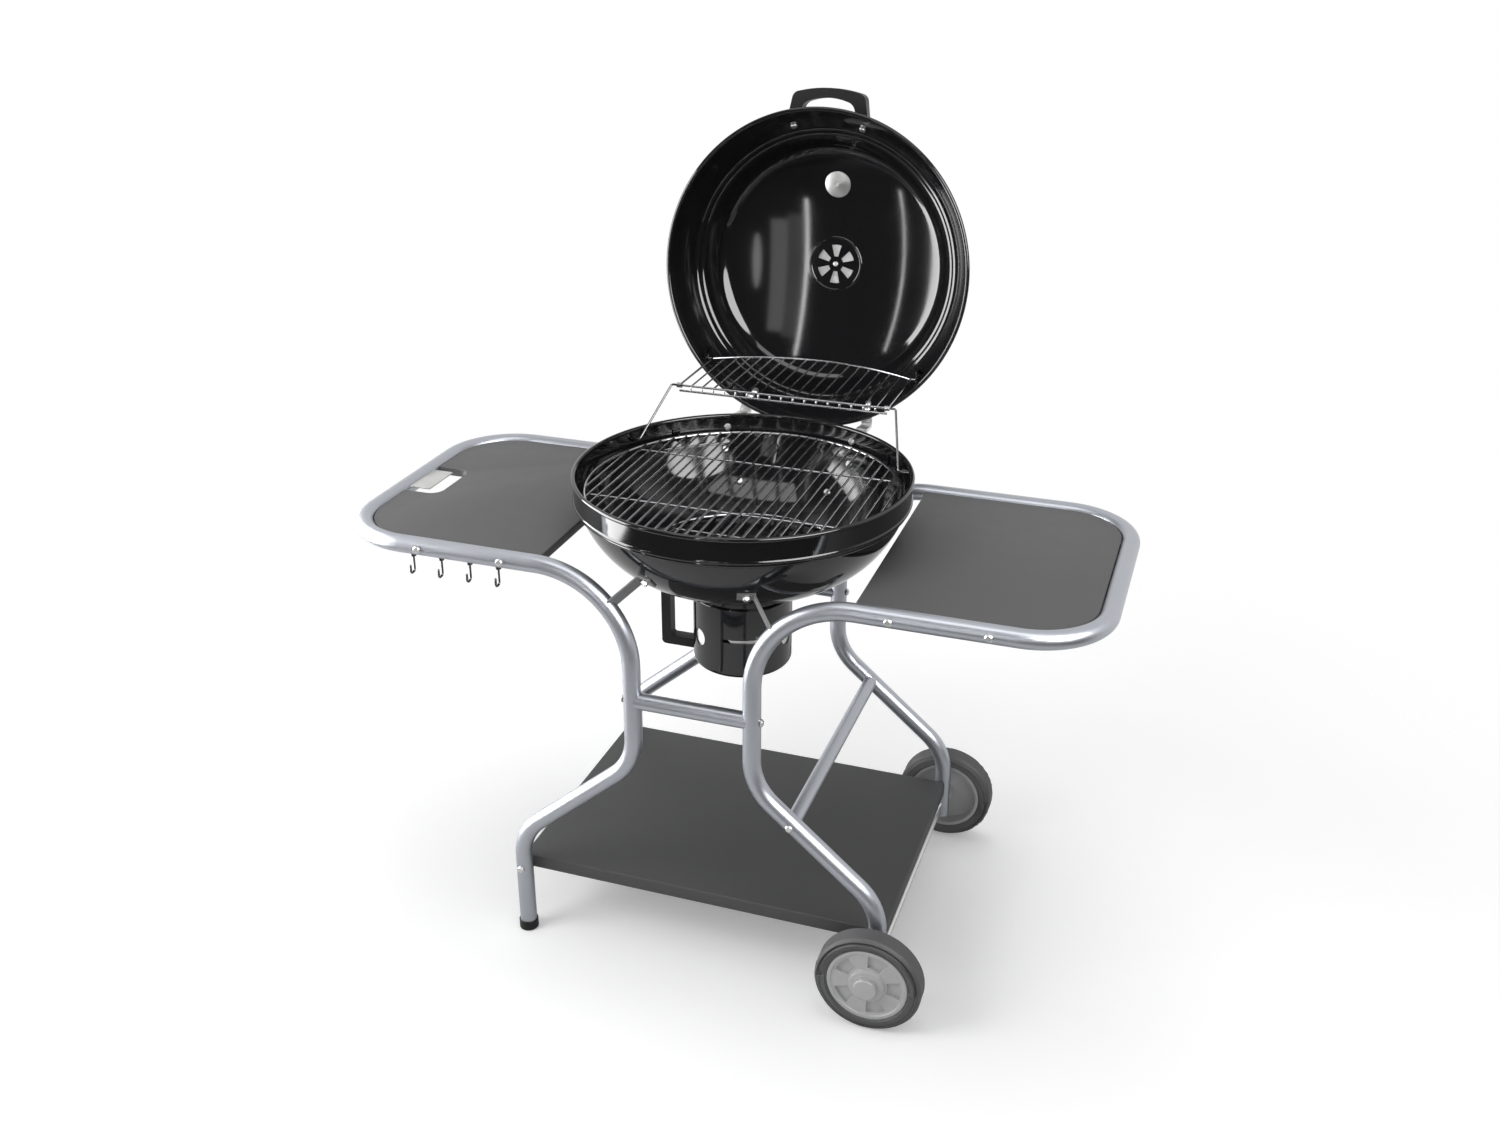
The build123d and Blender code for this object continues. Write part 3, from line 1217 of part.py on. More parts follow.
def round_grate(radius, ring_r, bar_r, bars, cross_y, height):
    """Round grate: a ring, bars along Y welded under it and two cross wires."""
    half = Polyline(*[(radius + ring_r * cos(radians(a)), ring_r * sin(radians(a))) for a in range(0, 360, 60)],
                    close=True)
    body = Pos(0, 0, height) * revolve(Plane.XZ * make_face(half), Axis.Z)
    bar_z = height + (ring_r - bar_r)
    pitch = 2 * radius / (bars + 1)
    for count in range(1, bars + 1):
        x = -radius + count * pitch
        end = sqrt(radius**2 - x**2)
        body += wire((x, -end, bar_z), (x, end, bar_z), bar_r)
    cross_z = bar_z - 1.6 * bar_r
    end = pitch * floor(sqrt(radius**2 - cross_y**2) / pitch)
    for y in (-cross_y, cross_y):
        body += wire((-end, y, cross_z), (end, y, cross_z), bar_r)
    return body


def make_grates():
    pieces["cooking_grate"] = round_grate(COOK_R, COOK_RING_R, COOK_BAR_R, COOK_BARS, COOK_CROSS_Y, COOK_Z)
    pieces["charcoal_grate"] = round_grate(COAL_R, COAL_RING_R, COAL_BAR_R, COAL_BARS, COAL_CROSS_Y, COAL_Z)


# Ash catcher


def around(radius, angle):
    """Place on a circle round the bowl's axis, at an angle from +X."""
    return radius * cos(radians(angle)), radius * sin(radians(angle))


def radial_hole(radius, angle, height):
    """Cutter for a round hole through one side of the can at an angle."""
    far = around(2 * CAN_R, angle)
    return rod((0, 0, height), (*far, height), radius)


def ash_can():
    """Can with a rounded bottom edge, air holes, the damper lever's slot and a ledge for the damper."""
    top = FLOOR_Z - CAN_TOP_GAP
    low = CAN_BOTTOM_Z
    corner = CAN_CORNER_R
    bend = CenterArc((CAN_R - corner, low + corner), corner, -90, 90)
    inner_bend = CenterArc((CAN_R - corner, low + corner), corner - CAN_WALL, -90, 90)
    inner_r = CAN_R - CAN_WALL
    outline = [
        Line((0, low), bend @ 0),
        bend,
        Line(bend @ 1, (CAN_R, top)),
        Line((CAN_R, top), (inner_r, top)),
        Line((inner_r, top), inner_bend @ 1),
        inner_bend,
        Line(inner_bend @ 0, (0, low + CAN_WALL)),
        Line((0, low + CAN_WALL), (0, low)),
    ]
    body = turned(outline)
    ledge = Cylinder(inner_r + CAN_WALL / 2, LEDGE_H, align=HANG)
    ledge -= Cylinder(inner_r - LEDGE_W, LEDGE_H, align=HANG)
    body += Pos(0, 0, RING_LOW_Z - SEAT_GAP) * ledge
    body += Pos(0, 0, top - CAN_LIP_R) * Torus(inner_r + CAN_LIP_R, CAN_LIP_R)
    for angle in AIR_HOLE_ANGLES:
        body -= radial_hole(AIR_HOLE_R, angle, AIR_HOLE_Z)
    section = Plane.XZ * Pos(CAN_R, LEVER_Z) * Rectangle(8, SLOT_H)
    slot = revolve(section, Axis.Z, revolution_arc=2 * SLOT_HALF_ANGLE)
    body -= Rot(0, 0, SLOT_MID_ANGLE - SLOT_HALF_ANGLE) * slot
    for height in handle_bolt_heights():
        body -= rod((-CAN_R - 10, 0, height), (-CAN_R + 10, 0, height), BOLT_R + BOLT_GAP)
    return body


def ash_damper():
    """Damper sleeve inside the can, closed at rest, with its lever through the slot."""
    outer_r = CAN_R - CAN_WALL - MOVE_GAP
    height = RING_TOP_Z - RING_LOW_Z
    sleeve = Cylinder(outer_r, height, align=BASE) - Cylinder(outer_r - RING_T, height, align=BASE)
    body = Pos(0, 0, RING_LOW_Z) * sleeve
    for angle in AIR_HOLE_ANGLES:
        body -= radial_hole(AIR_HOLE_R, angle + LEVER_TURN, AIR_HOLE_Z)
    lever_angle = SLOT_MID_ANGLE + LEVER_TURN / 2
    reach = CAN_R + LEVER_REACH - outer_r + RING_T / 2
    lever = Pos(outer_r - RING_T / 2, 0, LEVER_Z) * Box(
        reach, LEVER_W, LEVER_T, align=(Align.MIN, Align.CENTER, Align.CENTER)
    )
    return body + Rot(0, 0, lever_angle) * lever


def handle_bolt_heights():
    """Heights of the two bolts of the can's handle."""
    inset = HANDLE_BAR * 0.6
    return (HANDLE_LOW_Z + inset, HANDLE_HIGH_Z - inset)


def handle_bolt_places():
    """Seat and direction of the bolts from inside the can into the handle."""
    seat_x = -(sqrt((CAN_R - CAN_WALL) ** 2 - HEAD_R**2) - SEAT_GAP)
    return [((seat_x, 0, height), (-1, 0, 0)) for height in handle_bolt_heights()]


def ash_handle():
    """Looped handle on the side of the can."""
    outer_x = CAN_R + HANDLE_REACH
    mid_z = (HANDLE_LOW_Z + HANDLE_HIGH_Z) / 2
    high = HANDLE_HIGH_Z - HANDLE_LOW_Z
    outer = Pos(-outer_x / 2, mid_z) * Rectangle(outer_x, high)
    outer = fillet(outer.vertices().group_by(Axis.X)[0], HANDLE_CORNER_R)
    inner_x = outer_x - HANDLE_BAR
    inner = Pos(-inner_x / 2, mid_z) * Rectangle(inner_x, high - 2 * HANDLE_BAR)
    inner = fillet(inner.vertices().group_by(Axis.X)[0], HANDLE_CORNER_R / 2)
    body = extrude(Plane.XZ * (outer - inner), HANDLE_W / 2, both=True)
    body -= Pos(0, 0, CAN_BOTTOM_Z) * Cylinder(CAN_R + SEAT_GAP, 2 * high, align=BASE)
    for seat, direction in handle_bolt_places():
        body -= bolt_hole(seat, direction, GRIP_BITE + CAN_WALL + 1)
    return body


def make_ash_catcher():
    pieces["ash_can"] = ash_can()
    pieces["ash_damper"] = ash_damper()
    pieces["ash_handle"] = ash_handle()
    length = CAN_WALL + 2 * SEAT_GAP + GRIP_BITE
    pieces["ash_handle_bolts"] = [bolt(seat, direction, length) for seat, direction in handle_bolt_places()]


make_frame()
make_shelves()
make_wheels()
make_bowl()
make_bowl_fittings()
make_lid()
make_rack()
make_grates()
make_ash_catcher()

os.makedirs("parts", exist_ok=True)
for name, shape in pieces.items():
    solids = shape if isinstance(shape, list) else [shape]
    group = [solid for item in solids for solid in item.solids()]
    export_step(Compound(children=group) if len(group) > 1 else group[0], "parts/" + name + ".step")
print("legs turn", round(LEG_TURN, 3), "rack turns", round(RACK_TURN, 3), "while the lid turns", LID_OPEN)
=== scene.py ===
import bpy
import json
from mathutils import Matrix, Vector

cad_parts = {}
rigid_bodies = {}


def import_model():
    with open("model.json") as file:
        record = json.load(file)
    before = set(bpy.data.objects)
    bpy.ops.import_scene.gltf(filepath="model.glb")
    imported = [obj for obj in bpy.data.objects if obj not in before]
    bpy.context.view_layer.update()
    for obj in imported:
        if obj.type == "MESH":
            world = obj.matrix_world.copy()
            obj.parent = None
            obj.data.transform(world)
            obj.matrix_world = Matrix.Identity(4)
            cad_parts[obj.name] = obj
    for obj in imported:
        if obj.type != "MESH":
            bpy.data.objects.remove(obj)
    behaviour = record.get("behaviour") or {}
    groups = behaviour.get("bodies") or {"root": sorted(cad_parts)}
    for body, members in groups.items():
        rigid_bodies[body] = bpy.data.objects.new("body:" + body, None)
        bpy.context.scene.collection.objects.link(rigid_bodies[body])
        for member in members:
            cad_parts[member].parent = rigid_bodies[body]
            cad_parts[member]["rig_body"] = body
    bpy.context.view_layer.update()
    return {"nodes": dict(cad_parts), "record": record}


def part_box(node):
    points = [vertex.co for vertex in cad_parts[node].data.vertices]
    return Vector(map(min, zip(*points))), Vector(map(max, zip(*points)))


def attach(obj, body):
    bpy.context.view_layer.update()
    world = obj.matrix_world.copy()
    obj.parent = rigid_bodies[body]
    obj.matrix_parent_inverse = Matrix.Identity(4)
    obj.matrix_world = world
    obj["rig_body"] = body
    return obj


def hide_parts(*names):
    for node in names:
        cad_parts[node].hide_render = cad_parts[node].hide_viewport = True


bl_info = {
    "name": "Kettle grill looks",
    "version": (1, 0, 0),
    "blender": (4, 5, 0),
    "location": "View3D > Sidebar > Grill",
    "description": "Dresses the packed kettle grill with finished pieces, finishes and a studio",
    "category": "Object",
}

import json
from math import asin, atan2, cos, degrees, hypot, pi, radians, sin, sqrt, tan

import bmesh
import bpy
from bmesh.types import BMFace, BMVert
from bpy.props import FloatProperty, FloatVectorProperty, IntProperty, PointerProperty
from bpy.types import Operator, Panel, PropertyGroup
from mathutils import Matrix, Vector

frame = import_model()
NODES = frame["nodes"]
SLOT_OF = {row["node"]: row["material_slot"] for row in frame["record"]["subparts"]}
# Nodes that the photo shows in another finish than the rest of their slot; the darker chrome of the rack's
# legs and the hooks is painted shade on the same plating as the rack
SHOWN_AS = {
    "bowl_brackets": "bracket_paint",
    "cook_tabs": "enamel",
    "rack_hangers": "enamel",
    "rack_bosses": "enamel",
    "left_rack_leg": "dark_wire",
    "right_rack_leg": "dark_wire",
    "utensil_hooks": "dark_wire",
}
LOOK_OF = {**SLOT_OF, **SHOWN_AS}

# Sizes that the solids have, in metres, with the angles of the hubs' pockets in degrees
WALL = 0.002
RIM_ROLL = 0.004
BAND_R = 0.282
RIM_Z = 0.835
BAND_Z = 0.797
BEAD_IN = 0.0025
BEAD_DROP = 0.0075
WAIST_IN = 0.008
WAIST_DROP = 0.014
FLOOR_R = 0.097
FLOOR_Z = 0.652
OUTLET_R = 0.070
LID_R = 0.283
LID_Z = 0.8354
LID_DEPTH = 0.157
LID_OPEN = radians(98.0)
HINGE = Vector((0.0, 0.297, 0.790))
VENT_R = 0.036
VENT_HUB_R = 0.014
VENT_COUNT = 6
COOK = {"radius": 0.264, "ring": 0.003, "bar": 0.002, "bars": 29, "cross": 0.110, "height": 0.804}
COAL = {"radius": 0.180, "ring": 0.003, "bar": 0.0025, "bars": 13, "cross": 0.075, "height": 0.6775}
RACK_Z = 0.897
RACK_FRONT_Y = 0.205
RACK_REAR_Y = 0.375
RACK_MID_Y = 0.428
RACK_HALF_W = 0.192
RACK_LIP = 0.010
RACK_FRAME_R = 0.002
RACK_BAR_R = 0.0016
RACK_BARS = 17
RACK_EYE_R = 0.0046
RACK_EYE_LEN = 0.009
RACK_LEG_R = 0.002
PIN_REACH = 0.2048
HOOK_X = (-0.487, -0.435, -0.383, -0.331)
HOOK_Y = -0.251
HOOK_TOP = 0.720
HOOK_LOW = 0.685
HOOK_GAPE = 0.012
HOOK_LIP = 0.014
HOOK_WIRE_R = 0.002
HOOK_COLLAR_R = 0.005
HOOK_COLLAR_H = 0.004
HOOK_COLLAR_GAP = 0.0002
RAIL_UNDER = 0.717
AXLE = Vector((0.322, 0.0, 0.090))
WHEEL_Y = 0.293
WHEEL_R = 0.090
RIM_R = 0.068
TYRE_HALF_W = 0.021
TYRE_STEP = 0.0025
AXLE_R = 0.006
HUB_PROUD = 0.002
HUB_SLEEVE_R = 0.014
HUB_SLEEVE = 0.021
POCKET_PITCH = 72.0
POCKET_R = (0.034, 0.057)
POCKET_HALF_ANGLE = 17.0
POCKET_DEPTH = 0.006
HUB_CAP_R = 0.020
HUB_CAP_H = 0.010
HUB_CAP_WALL = 0.0025
GAUGE_AT = Vector((0.0, 0.546221, 1.205357))
GAUGE_OUT = Vector((0.0, 0.999204, 0.039887))
DIAL_FACE = 0.0034
DIAL_R = 0.028

# Form of the lid and of the pieces on it; the lid's solid is a plainer dome with the same rim and depth
LID_LEAN = radians(28.0)
LID_SKIRT_UP = 0.058
LID_STEP_UP = 0.018
LID_STEP_IN = 0.016
LID_WALL_RISE = 0.028
LID_SHOULDER_R = 0.040
LID_SLOPE = tan(LID_LEAN)
LID_THIN = WALL / cos(LID_LEAN)
LID_SKIRT_R = LID_R - (LID_SKIRT_UP - RIM_ROLL) * LID_SLOPE
GRIP_HALF_W = 0.066
GRIP_SPLAY = 0.011
GRIP_STANDOFF = 0.064
GRIP_BOW = 0.010
GRIP_BAR = 0.017
GRIP_LEG = 0.020
GRIP_DEEP = 0.024
GRIP_UP = 0.049
GRIP_BOLT = (0.064, 0.045)  # from the lid's middle plane, above its rim
GRIP_CORNER = 0.009
GRIP_SINK = 0.0006
GRIP_SHORT = 0.0005
BOLT_HEAD_R = 0.0062
BOLT_HEAD_H = 0.0035
BOLT_HEAD_EDGE = 0.0012
LID_BEAD_BULGE = 0.0018
VENT_RING = (0.046, 0.052)
VENT_RING_RISE = 0.0012
RIVET_R = 0.0048
RIVET_IN = 0.003
RIVET_OUT = 0.005
RIVET_EDGE = 0.0014
GAUGE_REACH = 0.149
SEAT_R = 0.029
SEAT_RISE = 0.0045
SEAT_EDGE = 0.0004
PLATE_R = 0.0245
PLATE_T = 0.0026
PLATE_SINK = 0.0004
PROBE_R = 0.003
PROBE_LEN = 0.018
HANGER_GAP = 0.0002
SINK = 0.0005  # of a seat or bolt head in the wall

# Details of the dressed pieces
BOWL_BEAD_BULGE = 0.0030
CROSS_DROP = 1.6  # cross wires under the bars, in bar radii
PIN_OVERLAP = 0.001
HOOK_BEND = 0.45  # share of the hook's gape
HOOK_TIP = 1.08  # share of the wire's radius
TYRE_RIDGE = ((0.003, 0.0006), (0.012, 0.0))  # outside the rim, below the tyre's side
TYRE_RIDGE_FOOT = 0.0135
TYRE_ROUND = (0.004, 0.005)  # inside the tread, below the tyre's flank
HUB_FIT = 0.0002
HUB_FACE_IN = 0.005
HUB_WEB = 0.010
# Radii, and depths below the face of the boss or the top of the cap
HUB_BOSS = ((0.0215, 0.0), (0.0225, 0.0012), (0.0270, 0.0012), (0.030, 0.003))
HUB_BOSS_FOOT = 0.031
HUB_RIM = 0.006
HUB_RIM_FOOT = 0.0075
HUB_EDGE = 0.0006
CAP_GAP = 0.0001
CAP_CROWN = ((0.013, 0.0003), (0.016, 0.0008))
CAP_ROUND = (0.016, 0.0048)
CAP_INSIDE = 0.0045
TAB_EDGE = 0.0008
ASH_HANDLE_EDGE = 0.003
ASH_HANDLE_SHORT = 0.006
RIB_COUNT = 15
RIB_SIZE = (0.0022, 0.015, 0.0026)
RIB_MARGIN = 0.014
RIB_EDGE = 0.0007
DIAL_START = 225.0
TICK_COUNT = 28
TICK_TURN = 10.0
TICK_LONG = (0.0035, 0.0007)
TICK_SHORT = (0.0020, 0.0004)
TICK_IN = 0.0035
INK_T = 0.00012
INK_LIFT = 0.00008
NUMBER_COUNT = 10
NUMBER_TURN = 30.0
NUMBER_STEP = 40
NUMBER_SIZE = 0.0046
NUMBER_IN = 0.0105

# Steps of round forms, angles in degrees between faces, and the distance at which points merge
FINE_STEPS = 48
SMALL_STEPS = 24
RING_STEPS = 160
BELLY_STEPS = 40
ROLL_STEPS = 18
CROWN_STEPS = (24, 0, 2, 3, 2)  # 0 for the pressed ring, which is drawn as a swell
BOW_STEPS = 12
CAP_STEPS = 72
SQUARE = 60.0
CORNER = 40.0
RIDGE = 20.0
MERGE = 1e-6

OPENED = Matrix.Translation(HINGE) @ Matrix.Rotation(-LID_OPEN, 4, "X") @ Matrix.Translation(-HINGE)


def count_setting(name, description, default, low, high):
    """A count that a user can change."""
    return IntProperty(name=name, description=description, default=default, min=low, max=high)


def edge_setting(name, description, default):
    """A width of rounded edges that a user can change."""
    return FloatProperty(name=name, description=description, default=default, unit="LENGTH")


class GrillSizes(PropertyGroup):
    """Sizes of the dressed pieces that a user would change."""

    turn_steps: count_setting("Turn steps", "Steps round a turned piece", 192, 48, 288)
    wheel_steps: count_setting("Wheel steps", "Steps round a wheel", 120, 60, 240)
    wire_sides: count_setting("Wire sides", "Sides of a round wire", 12, 6, 24)
    board_edge: edge_setting("Board edge", "Rounding of a shelf board's edges", 0.002)
    grip_edge: edge_setting("Grip edge", "Rounding of a moulded handle's edges", 0.004)
    tyre_edge: edge_setting("Tyre edge", "Rounding of a tyre's ridges", 0.0016)


def colour(name, description, red, green, blue):
    """A colour that a user can change."""
    return FloatVectorProperty(
        name=name, description=description, default=(red, green, blue), subtype="COLOR", min=0.0, max=1.0
    )


class GrillColours(PropertyGroup):
    """Base colours of the finishes."""

    enamel: colour("Enamel", "Gloss enamel of bowl, lid and ash can", 0.010, 0.010, 0.011)
    tube: colour("Tube paint", "Silver coat of the cart's tubes", 0.40, 0.415, 0.45)
    shelf: colour("Side shelves", "Paint of the two side shelves", 0.082, 0.082, 0.083)
    lower: colour("Lower shelf", "Paint of the lower shelf", 0.062, 0.062, 0.063)
    zinc: colour("Zinc", "Plating of bolts and hinges", 0.58, 0.58, 0.57)
    bracket: colour("Bracket paint", "Paint of the bowl's brackets", 0.200, 0.200, 0.205)
    chrome: colour("Chrome", "Plating of the wires", 0.44, 0.44, 0.45)
    # Painted shade: the rack's legs and the hooks are the rack's chrome plating, drawn darker
    shade: colour("Dark plating", "Plating of the rack's legs and the hooks", 0.13, 0.13, 0.135)
    plastic: colour("Black plastic", "Handles and feet", 0.011, 0.011, 0.012)
    tyre: colour("Tyre", "Tread and side of the wheels", 0.080, 0.080, 0.082)
    hub: colour("Hub", "Moulded hubs and their caps", 0.43, 0.43, 0.435)
    dial: colour("Dial", "Face of the thermometer", 0.80, 0.80, 0.78)
    glass: colour("Glass", "Glass of the thermometer", 0.96, 0.98, 0.98)
    needle: colour("Needle", "Needle of the thermometer", 0.45, 0.02, 0.02)
    floor: colour("Floor", "Pale studio floor", 0.90, 0.90, 0.90)


def brightness_setting(name, description, default):
    """A reflector's brightness that a user can change."""
    return FloatProperty(name=name, description=description, default=default, min=0.0)


class GrillStudio(PropertyGroup):
    """Studio light."""

    sky: FloatProperty(name="Room light", description="Light from all round", default=0.55, min=0.0, max=2.0)
    key: FloatProperty(name="Key lamp", description="Power of the large lamp", default=60.0, unit="POWER")
    top: FloatProperty(name="Top lamp", description="Power of the lamp above", default=40.0, unit="POWER")
    strip: brightness_setting("Strip", "Brightness of the narrow strips", 13.0)
    panel: brightness_setting("Panel", "Brightness of the panels beside the strip", 1.3)
    left: brightness_setting("Left box", "Brightness of the box on the left", 12.0)
    right: brightness_setting("Right box", "Brightness of the box on the right", 8.5)
    above: brightness_setting("Box above", "Brightness of the box overhead", 3.0)


class Value:
    """An output socket with operators that add Math nodes to its tree."""

    def __init__(self, mixer, socket):
        self.mixer = mixer
        self.socket = socket

    def maths(self, operation, *values):
        return self.mixer.node("ShaderNodeMath", {"operation": operation}, dict(enumerate(values)))

    def __add__(self, other):
        return self.maths("ADD", self, other)

    __radd__ = __add__

    def __sub__(self, other):
        return self.maths("SUBTRACT", self, other)

    def __rsub__(self, other):
        return self.maths("SUBTRACT", other, self)

    def __mul__(self, other):
        return self.maths("MULTIPLY", self, other)

    __rmul__ = __mul__

    def __gt__(self, other):
        return self.maths("GREATER_THAN", self, other)

    def __or__(self, other):
        return self.maths("MAXIMUM", self, other)


class Mixer:
    """A node tree that finishes are mixed in."""

    def __init__(self, tree):
        self.tree = tree
        tree.nodes.clear()

    def node(self, kind, settings=None, sockets=None, output=0):
        """Adds a node, sets its settings first, then its sockets' values or links."""
        made = self.tree.nodes.new(kind)
        for key, value in (settings or {}).items():
            setattr(made, key, value)
        for key, value in (sockets or {}).items():
            if isinstance(value, Value):
                self.tree.links.new(value.socket, made.inputs[key])
            else:
                made.inputs[key].default_value = value
        return Value(self, made.outputs[output]) if made.outputs else None

    def place(self):
        return self.node("ShaderNodeTexCoord", output="Object")

    def noise(self, scale, detail=2.0, roughness=0.5, stretch=(1.0, 1.0, 1.0)):
        at = self.node("ShaderNodeMapping", None, {"Vector": self.place(), "Scale": stretch})
        sockets = {"Vector": at, "Scale": scale, "Detail": detail, "Roughness": roughness}
        return self.node("ShaderNodeTexNoise", None, sockets)

    def blend(self, factor, first, second):
        """Mixes two colours."""
        sockets = {0: factor, 6: first, 7: second}
        return self.node("ShaderNodeMix", {"data_type": "RGBA"}, sockets, 2)

    def tint(self, factor, base, spread):
        """A colour that varies about its base by a share either way."""
        low = (*[c * (1.0 - spread) for c in base], 1.0)
        high = (*[c * (1.0 + spread) for c in base], 1.0)
        return self.blend(factor, low, high)

    def smooth(self, value, low, high):
        """Rises smoothly from 0 to 1 between two values."""
        sockets = {0: value, 1: low, 2: high}
        return self.node("ShaderNodeMapRange", {"interpolation_type": "SMOOTHSTEP"}, sockets)

    def bump(self, height, strength, distance):
        sockets = {"Height": height, "Strength": strength, "Distance": distance}
        return self.node("ShaderNodeBump", None, sockets)

    def surface(self, sockets):
        shader = self.node("ShaderNodeBsdfPrincipled", None, sockets)
        self.node("ShaderNodeOutputMaterial", None, {"Surface": shader})


def new_finish(name):
    """An empty material for a finish, with its mixer."""
    material = bpy.data.materials.new("finish_" + name)
    material.use_nodes = True
    return material, Mixer(material.node_tree)


def enamel_finish(mix, base):
    """Gloss enamel: faint orange peel, a breath of dust and softer gloss in patches."""
    peel = mix.noise(140.0, 1.0)
    patches = mix.noise(9.0, 3.0)
    specks = mix.noise(900.0, 1.0) > 0.74
    tone = mix.tint(patches, base, 0.25)
    dusty = mix.blend(specks * 0.5, tone, (0.03, 0.03, 0.03, 1.0))
    mix.surface({
        "Base Color": dusty,
        "Roughness": 0.05 + 0.05 * patches,
        "Specular IOR Level": 0.55,
        "Normal": mix.bump(peel, 0.02, 0.0002),
    })


def tube_finish(mix, base):
    """Silver powder coat: fine metal flake under a satin skin."""
    flake = mix.noise(2600.0, 1.0)
    patches = mix.noise(14.0, 3.0)
    mix.surface({
        "Base Color": mix.tint(0.7 * flake + 0.3 * patches, base, 0.16),
        "Metallic": 0.92,
        "Roughness": 0.30 + 0.08 * patches + 0.05 * flake,
        "Normal": mix.bump(flake, 0.06, 0.0002),
    })


def board_finish(mix, base):
    """Matte painted board: brushed grain that shows through the paint, and scuffs."""
    grain = mix.noise(70.0, 5.0, 0.6, (0.35, 6.0, 6.0))
    scuffs = mix.noise(26.0, 4.0, 0.7)
    pores = mix.noise(1500.0, 2.0)
    mix.surface({
        "Base Color": mix.tint(0.5 * grain + 0.5 * scuffs, base, 0.10),
        "Roughness": 0.46 + 0.16 * scuffs,
        "Specular IOR Level": 0.35,
        "Normal": mix.bump(0.6 * grain + 0.4 * pores, 0.10, 0.0004),
    })


def zinc_finish(mix, base):
    """Zinc plate: dull crystals and rubbed patches."""
    crystals = mix.noise(700.0, 3.0, 0.6)
    patches = mix.noise(60.0, 2.0)
    mix.surface({
        "Base Color": mix.tint(0.5 * crystals + 0.5 * patches, base, 0.18),
        "Metallic": 1.0,
        "Roughness": 0.26 + 0.22 * patches,
        "Normal": mix.bump(crystals, 0.08, 0.0002),
    })


def bracket_finish(mix, base):
    """Satin grey paint on pressed steel, rubbed in places."""
    rubs = mix.noise(55.0, 4.0, 0.65)
    pores = mix.noise(1200.0, 2.0)
    mix.surface({
        "Base Color": mix.tint(rubs, base, 0.25),
        "Roughness": 0.30 + 0.14 * rubs,
        "Normal": mix.bump(pores, 0.06, 0.0002),
    })


def chrome_finish(mix, base):
    """Bright plated wire with a trace of drawing marks."""
    marks = mix.noise(500.0, 2.0)
    stains = mix.noise(35.0, 3.0)
    mix.surface({
        "Base Color": mix.tint(stains, base, 0.12),
        "Metallic": 1.0,
        "Roughness": 0.13 + 0.12 * marks,
        "Normal": mix.bump(marks, 0.05, 0.0001),
    })


def plastic_finish(mix, base):
    """Moulded black plastic with a fine spark-eroded texture."""
    spark = mix.noise(1300.0, 2.0, 0.6)
    patches = mix.noise(30.0, 2.0)
    mix.surface({
        "Base Color": mix.tint(patches, base, 0.25),
        "Roughness": 0.36 + 0.16 * spark,
        "Specular IOR Level": 0.22,
        "Normal": mix.bump(spark, 0.12, 0.0003),
    })


def tyre_finish(mix, base):
    """Hard grey tyre: matte, a little dusty."""
    dust = mix.noise(45.0, 4.0, 0.65)
    pores = mix.noise(900.0, 2.0)
    mix.surface({
        "Base Color": mix.tint(dust, base, 0.16),
        "Roughness": 0.56 + 0.16 * dust,
        "Normal": mix.bump(pores, 0.10, 0.0003),
    })


def hub_finish(mix, base):
    """Light grey moulded plastic."""
    flow = mix.noise(28.0, 3.0)
    spark = mix.noise(1100.0, 2.0)
    mix.surface({
        "Base Color": mix.tint(flow, base, 0.06),
        "Roughness": 0.40 + 0.12 * spark,
        "Normal": mix.bump(spark, 0.07, 0.0002),
    })


def glass_finish(mix, base):
    """Clear flat glass with faint smears."""
    smears = mix.noise(40.0, 3.0)
    mix.surface({
        "Base Color": (*base, 1.0),
        "Roughness": 0.02 + 0.05 * smears,
        "Transmission Weight": 1.0,
        "IOR": 1.46,
    })


def print_finish(scale, spread, gloss):
    """Maker of a thin coat with a fine grain: the dial's white, its black print and the needle's red."""

    def paint(mix, base):
        grain = mix.noise(scale, 2.0)
        mix.surface({"Base Color": mix.tint(grain, base, spread), "Roughness": gloss + 0.1 * grain})

    return paint


FINISHES = {
    "enamel": (enamel_finish, "enamel"),
    "tube_paint": (tube_finish, "tube"),
    "shelf_board": (board_finish, "shelf"),
    "lower_board": (board_finish, "lower"),
    "zinc": (zinc_finish, "zinc"),
    "bracket_paint": (bracket_finish, "bracket"),
    "chrome_wire": (chrome_finish, "chrome"),
    # Painted shade: the rack's chrome, darkened for its legs and the hooks
    "dark_wire": (chrome_finish, "shade"),
    "black_plastic": (plastic_finish, "plastic"),
    "tyre": (tyre_finish, "tyre"),
    "hub": (hub_finish, "hub"),
    "dial": (print_finish(220.0, 0.03, 0.5), "dial"),
    "needle": (print_finish(600.0, 0.10, 0.32), "needle"),
    "glass": (glass_finish, "glass"),
    "ink": (print_finish(900.0, 0.3, 0.5), "plastic"),
}


def finish(slot):
    """The material of a finish, mixed the first time that it is asked for."""
    made = bpy.data.materials.get("finish_" + slot)
    if made is None:
        paint, colour_name = FINISHES[slot]
        made, mix = new_finish(slot)
        paint(mix, tuple(getattr(bpy.context.scene.grill_colours, colour_name)))
    return made


def sizes():
    return bpy.context.scene.grill_sizes


def lid_side(up):
    """Outer radius of the lid's lower side at a height above its rim."""
    return LID_R - max(up - RIM_ROLL, 0.0) * LID_SLOPE


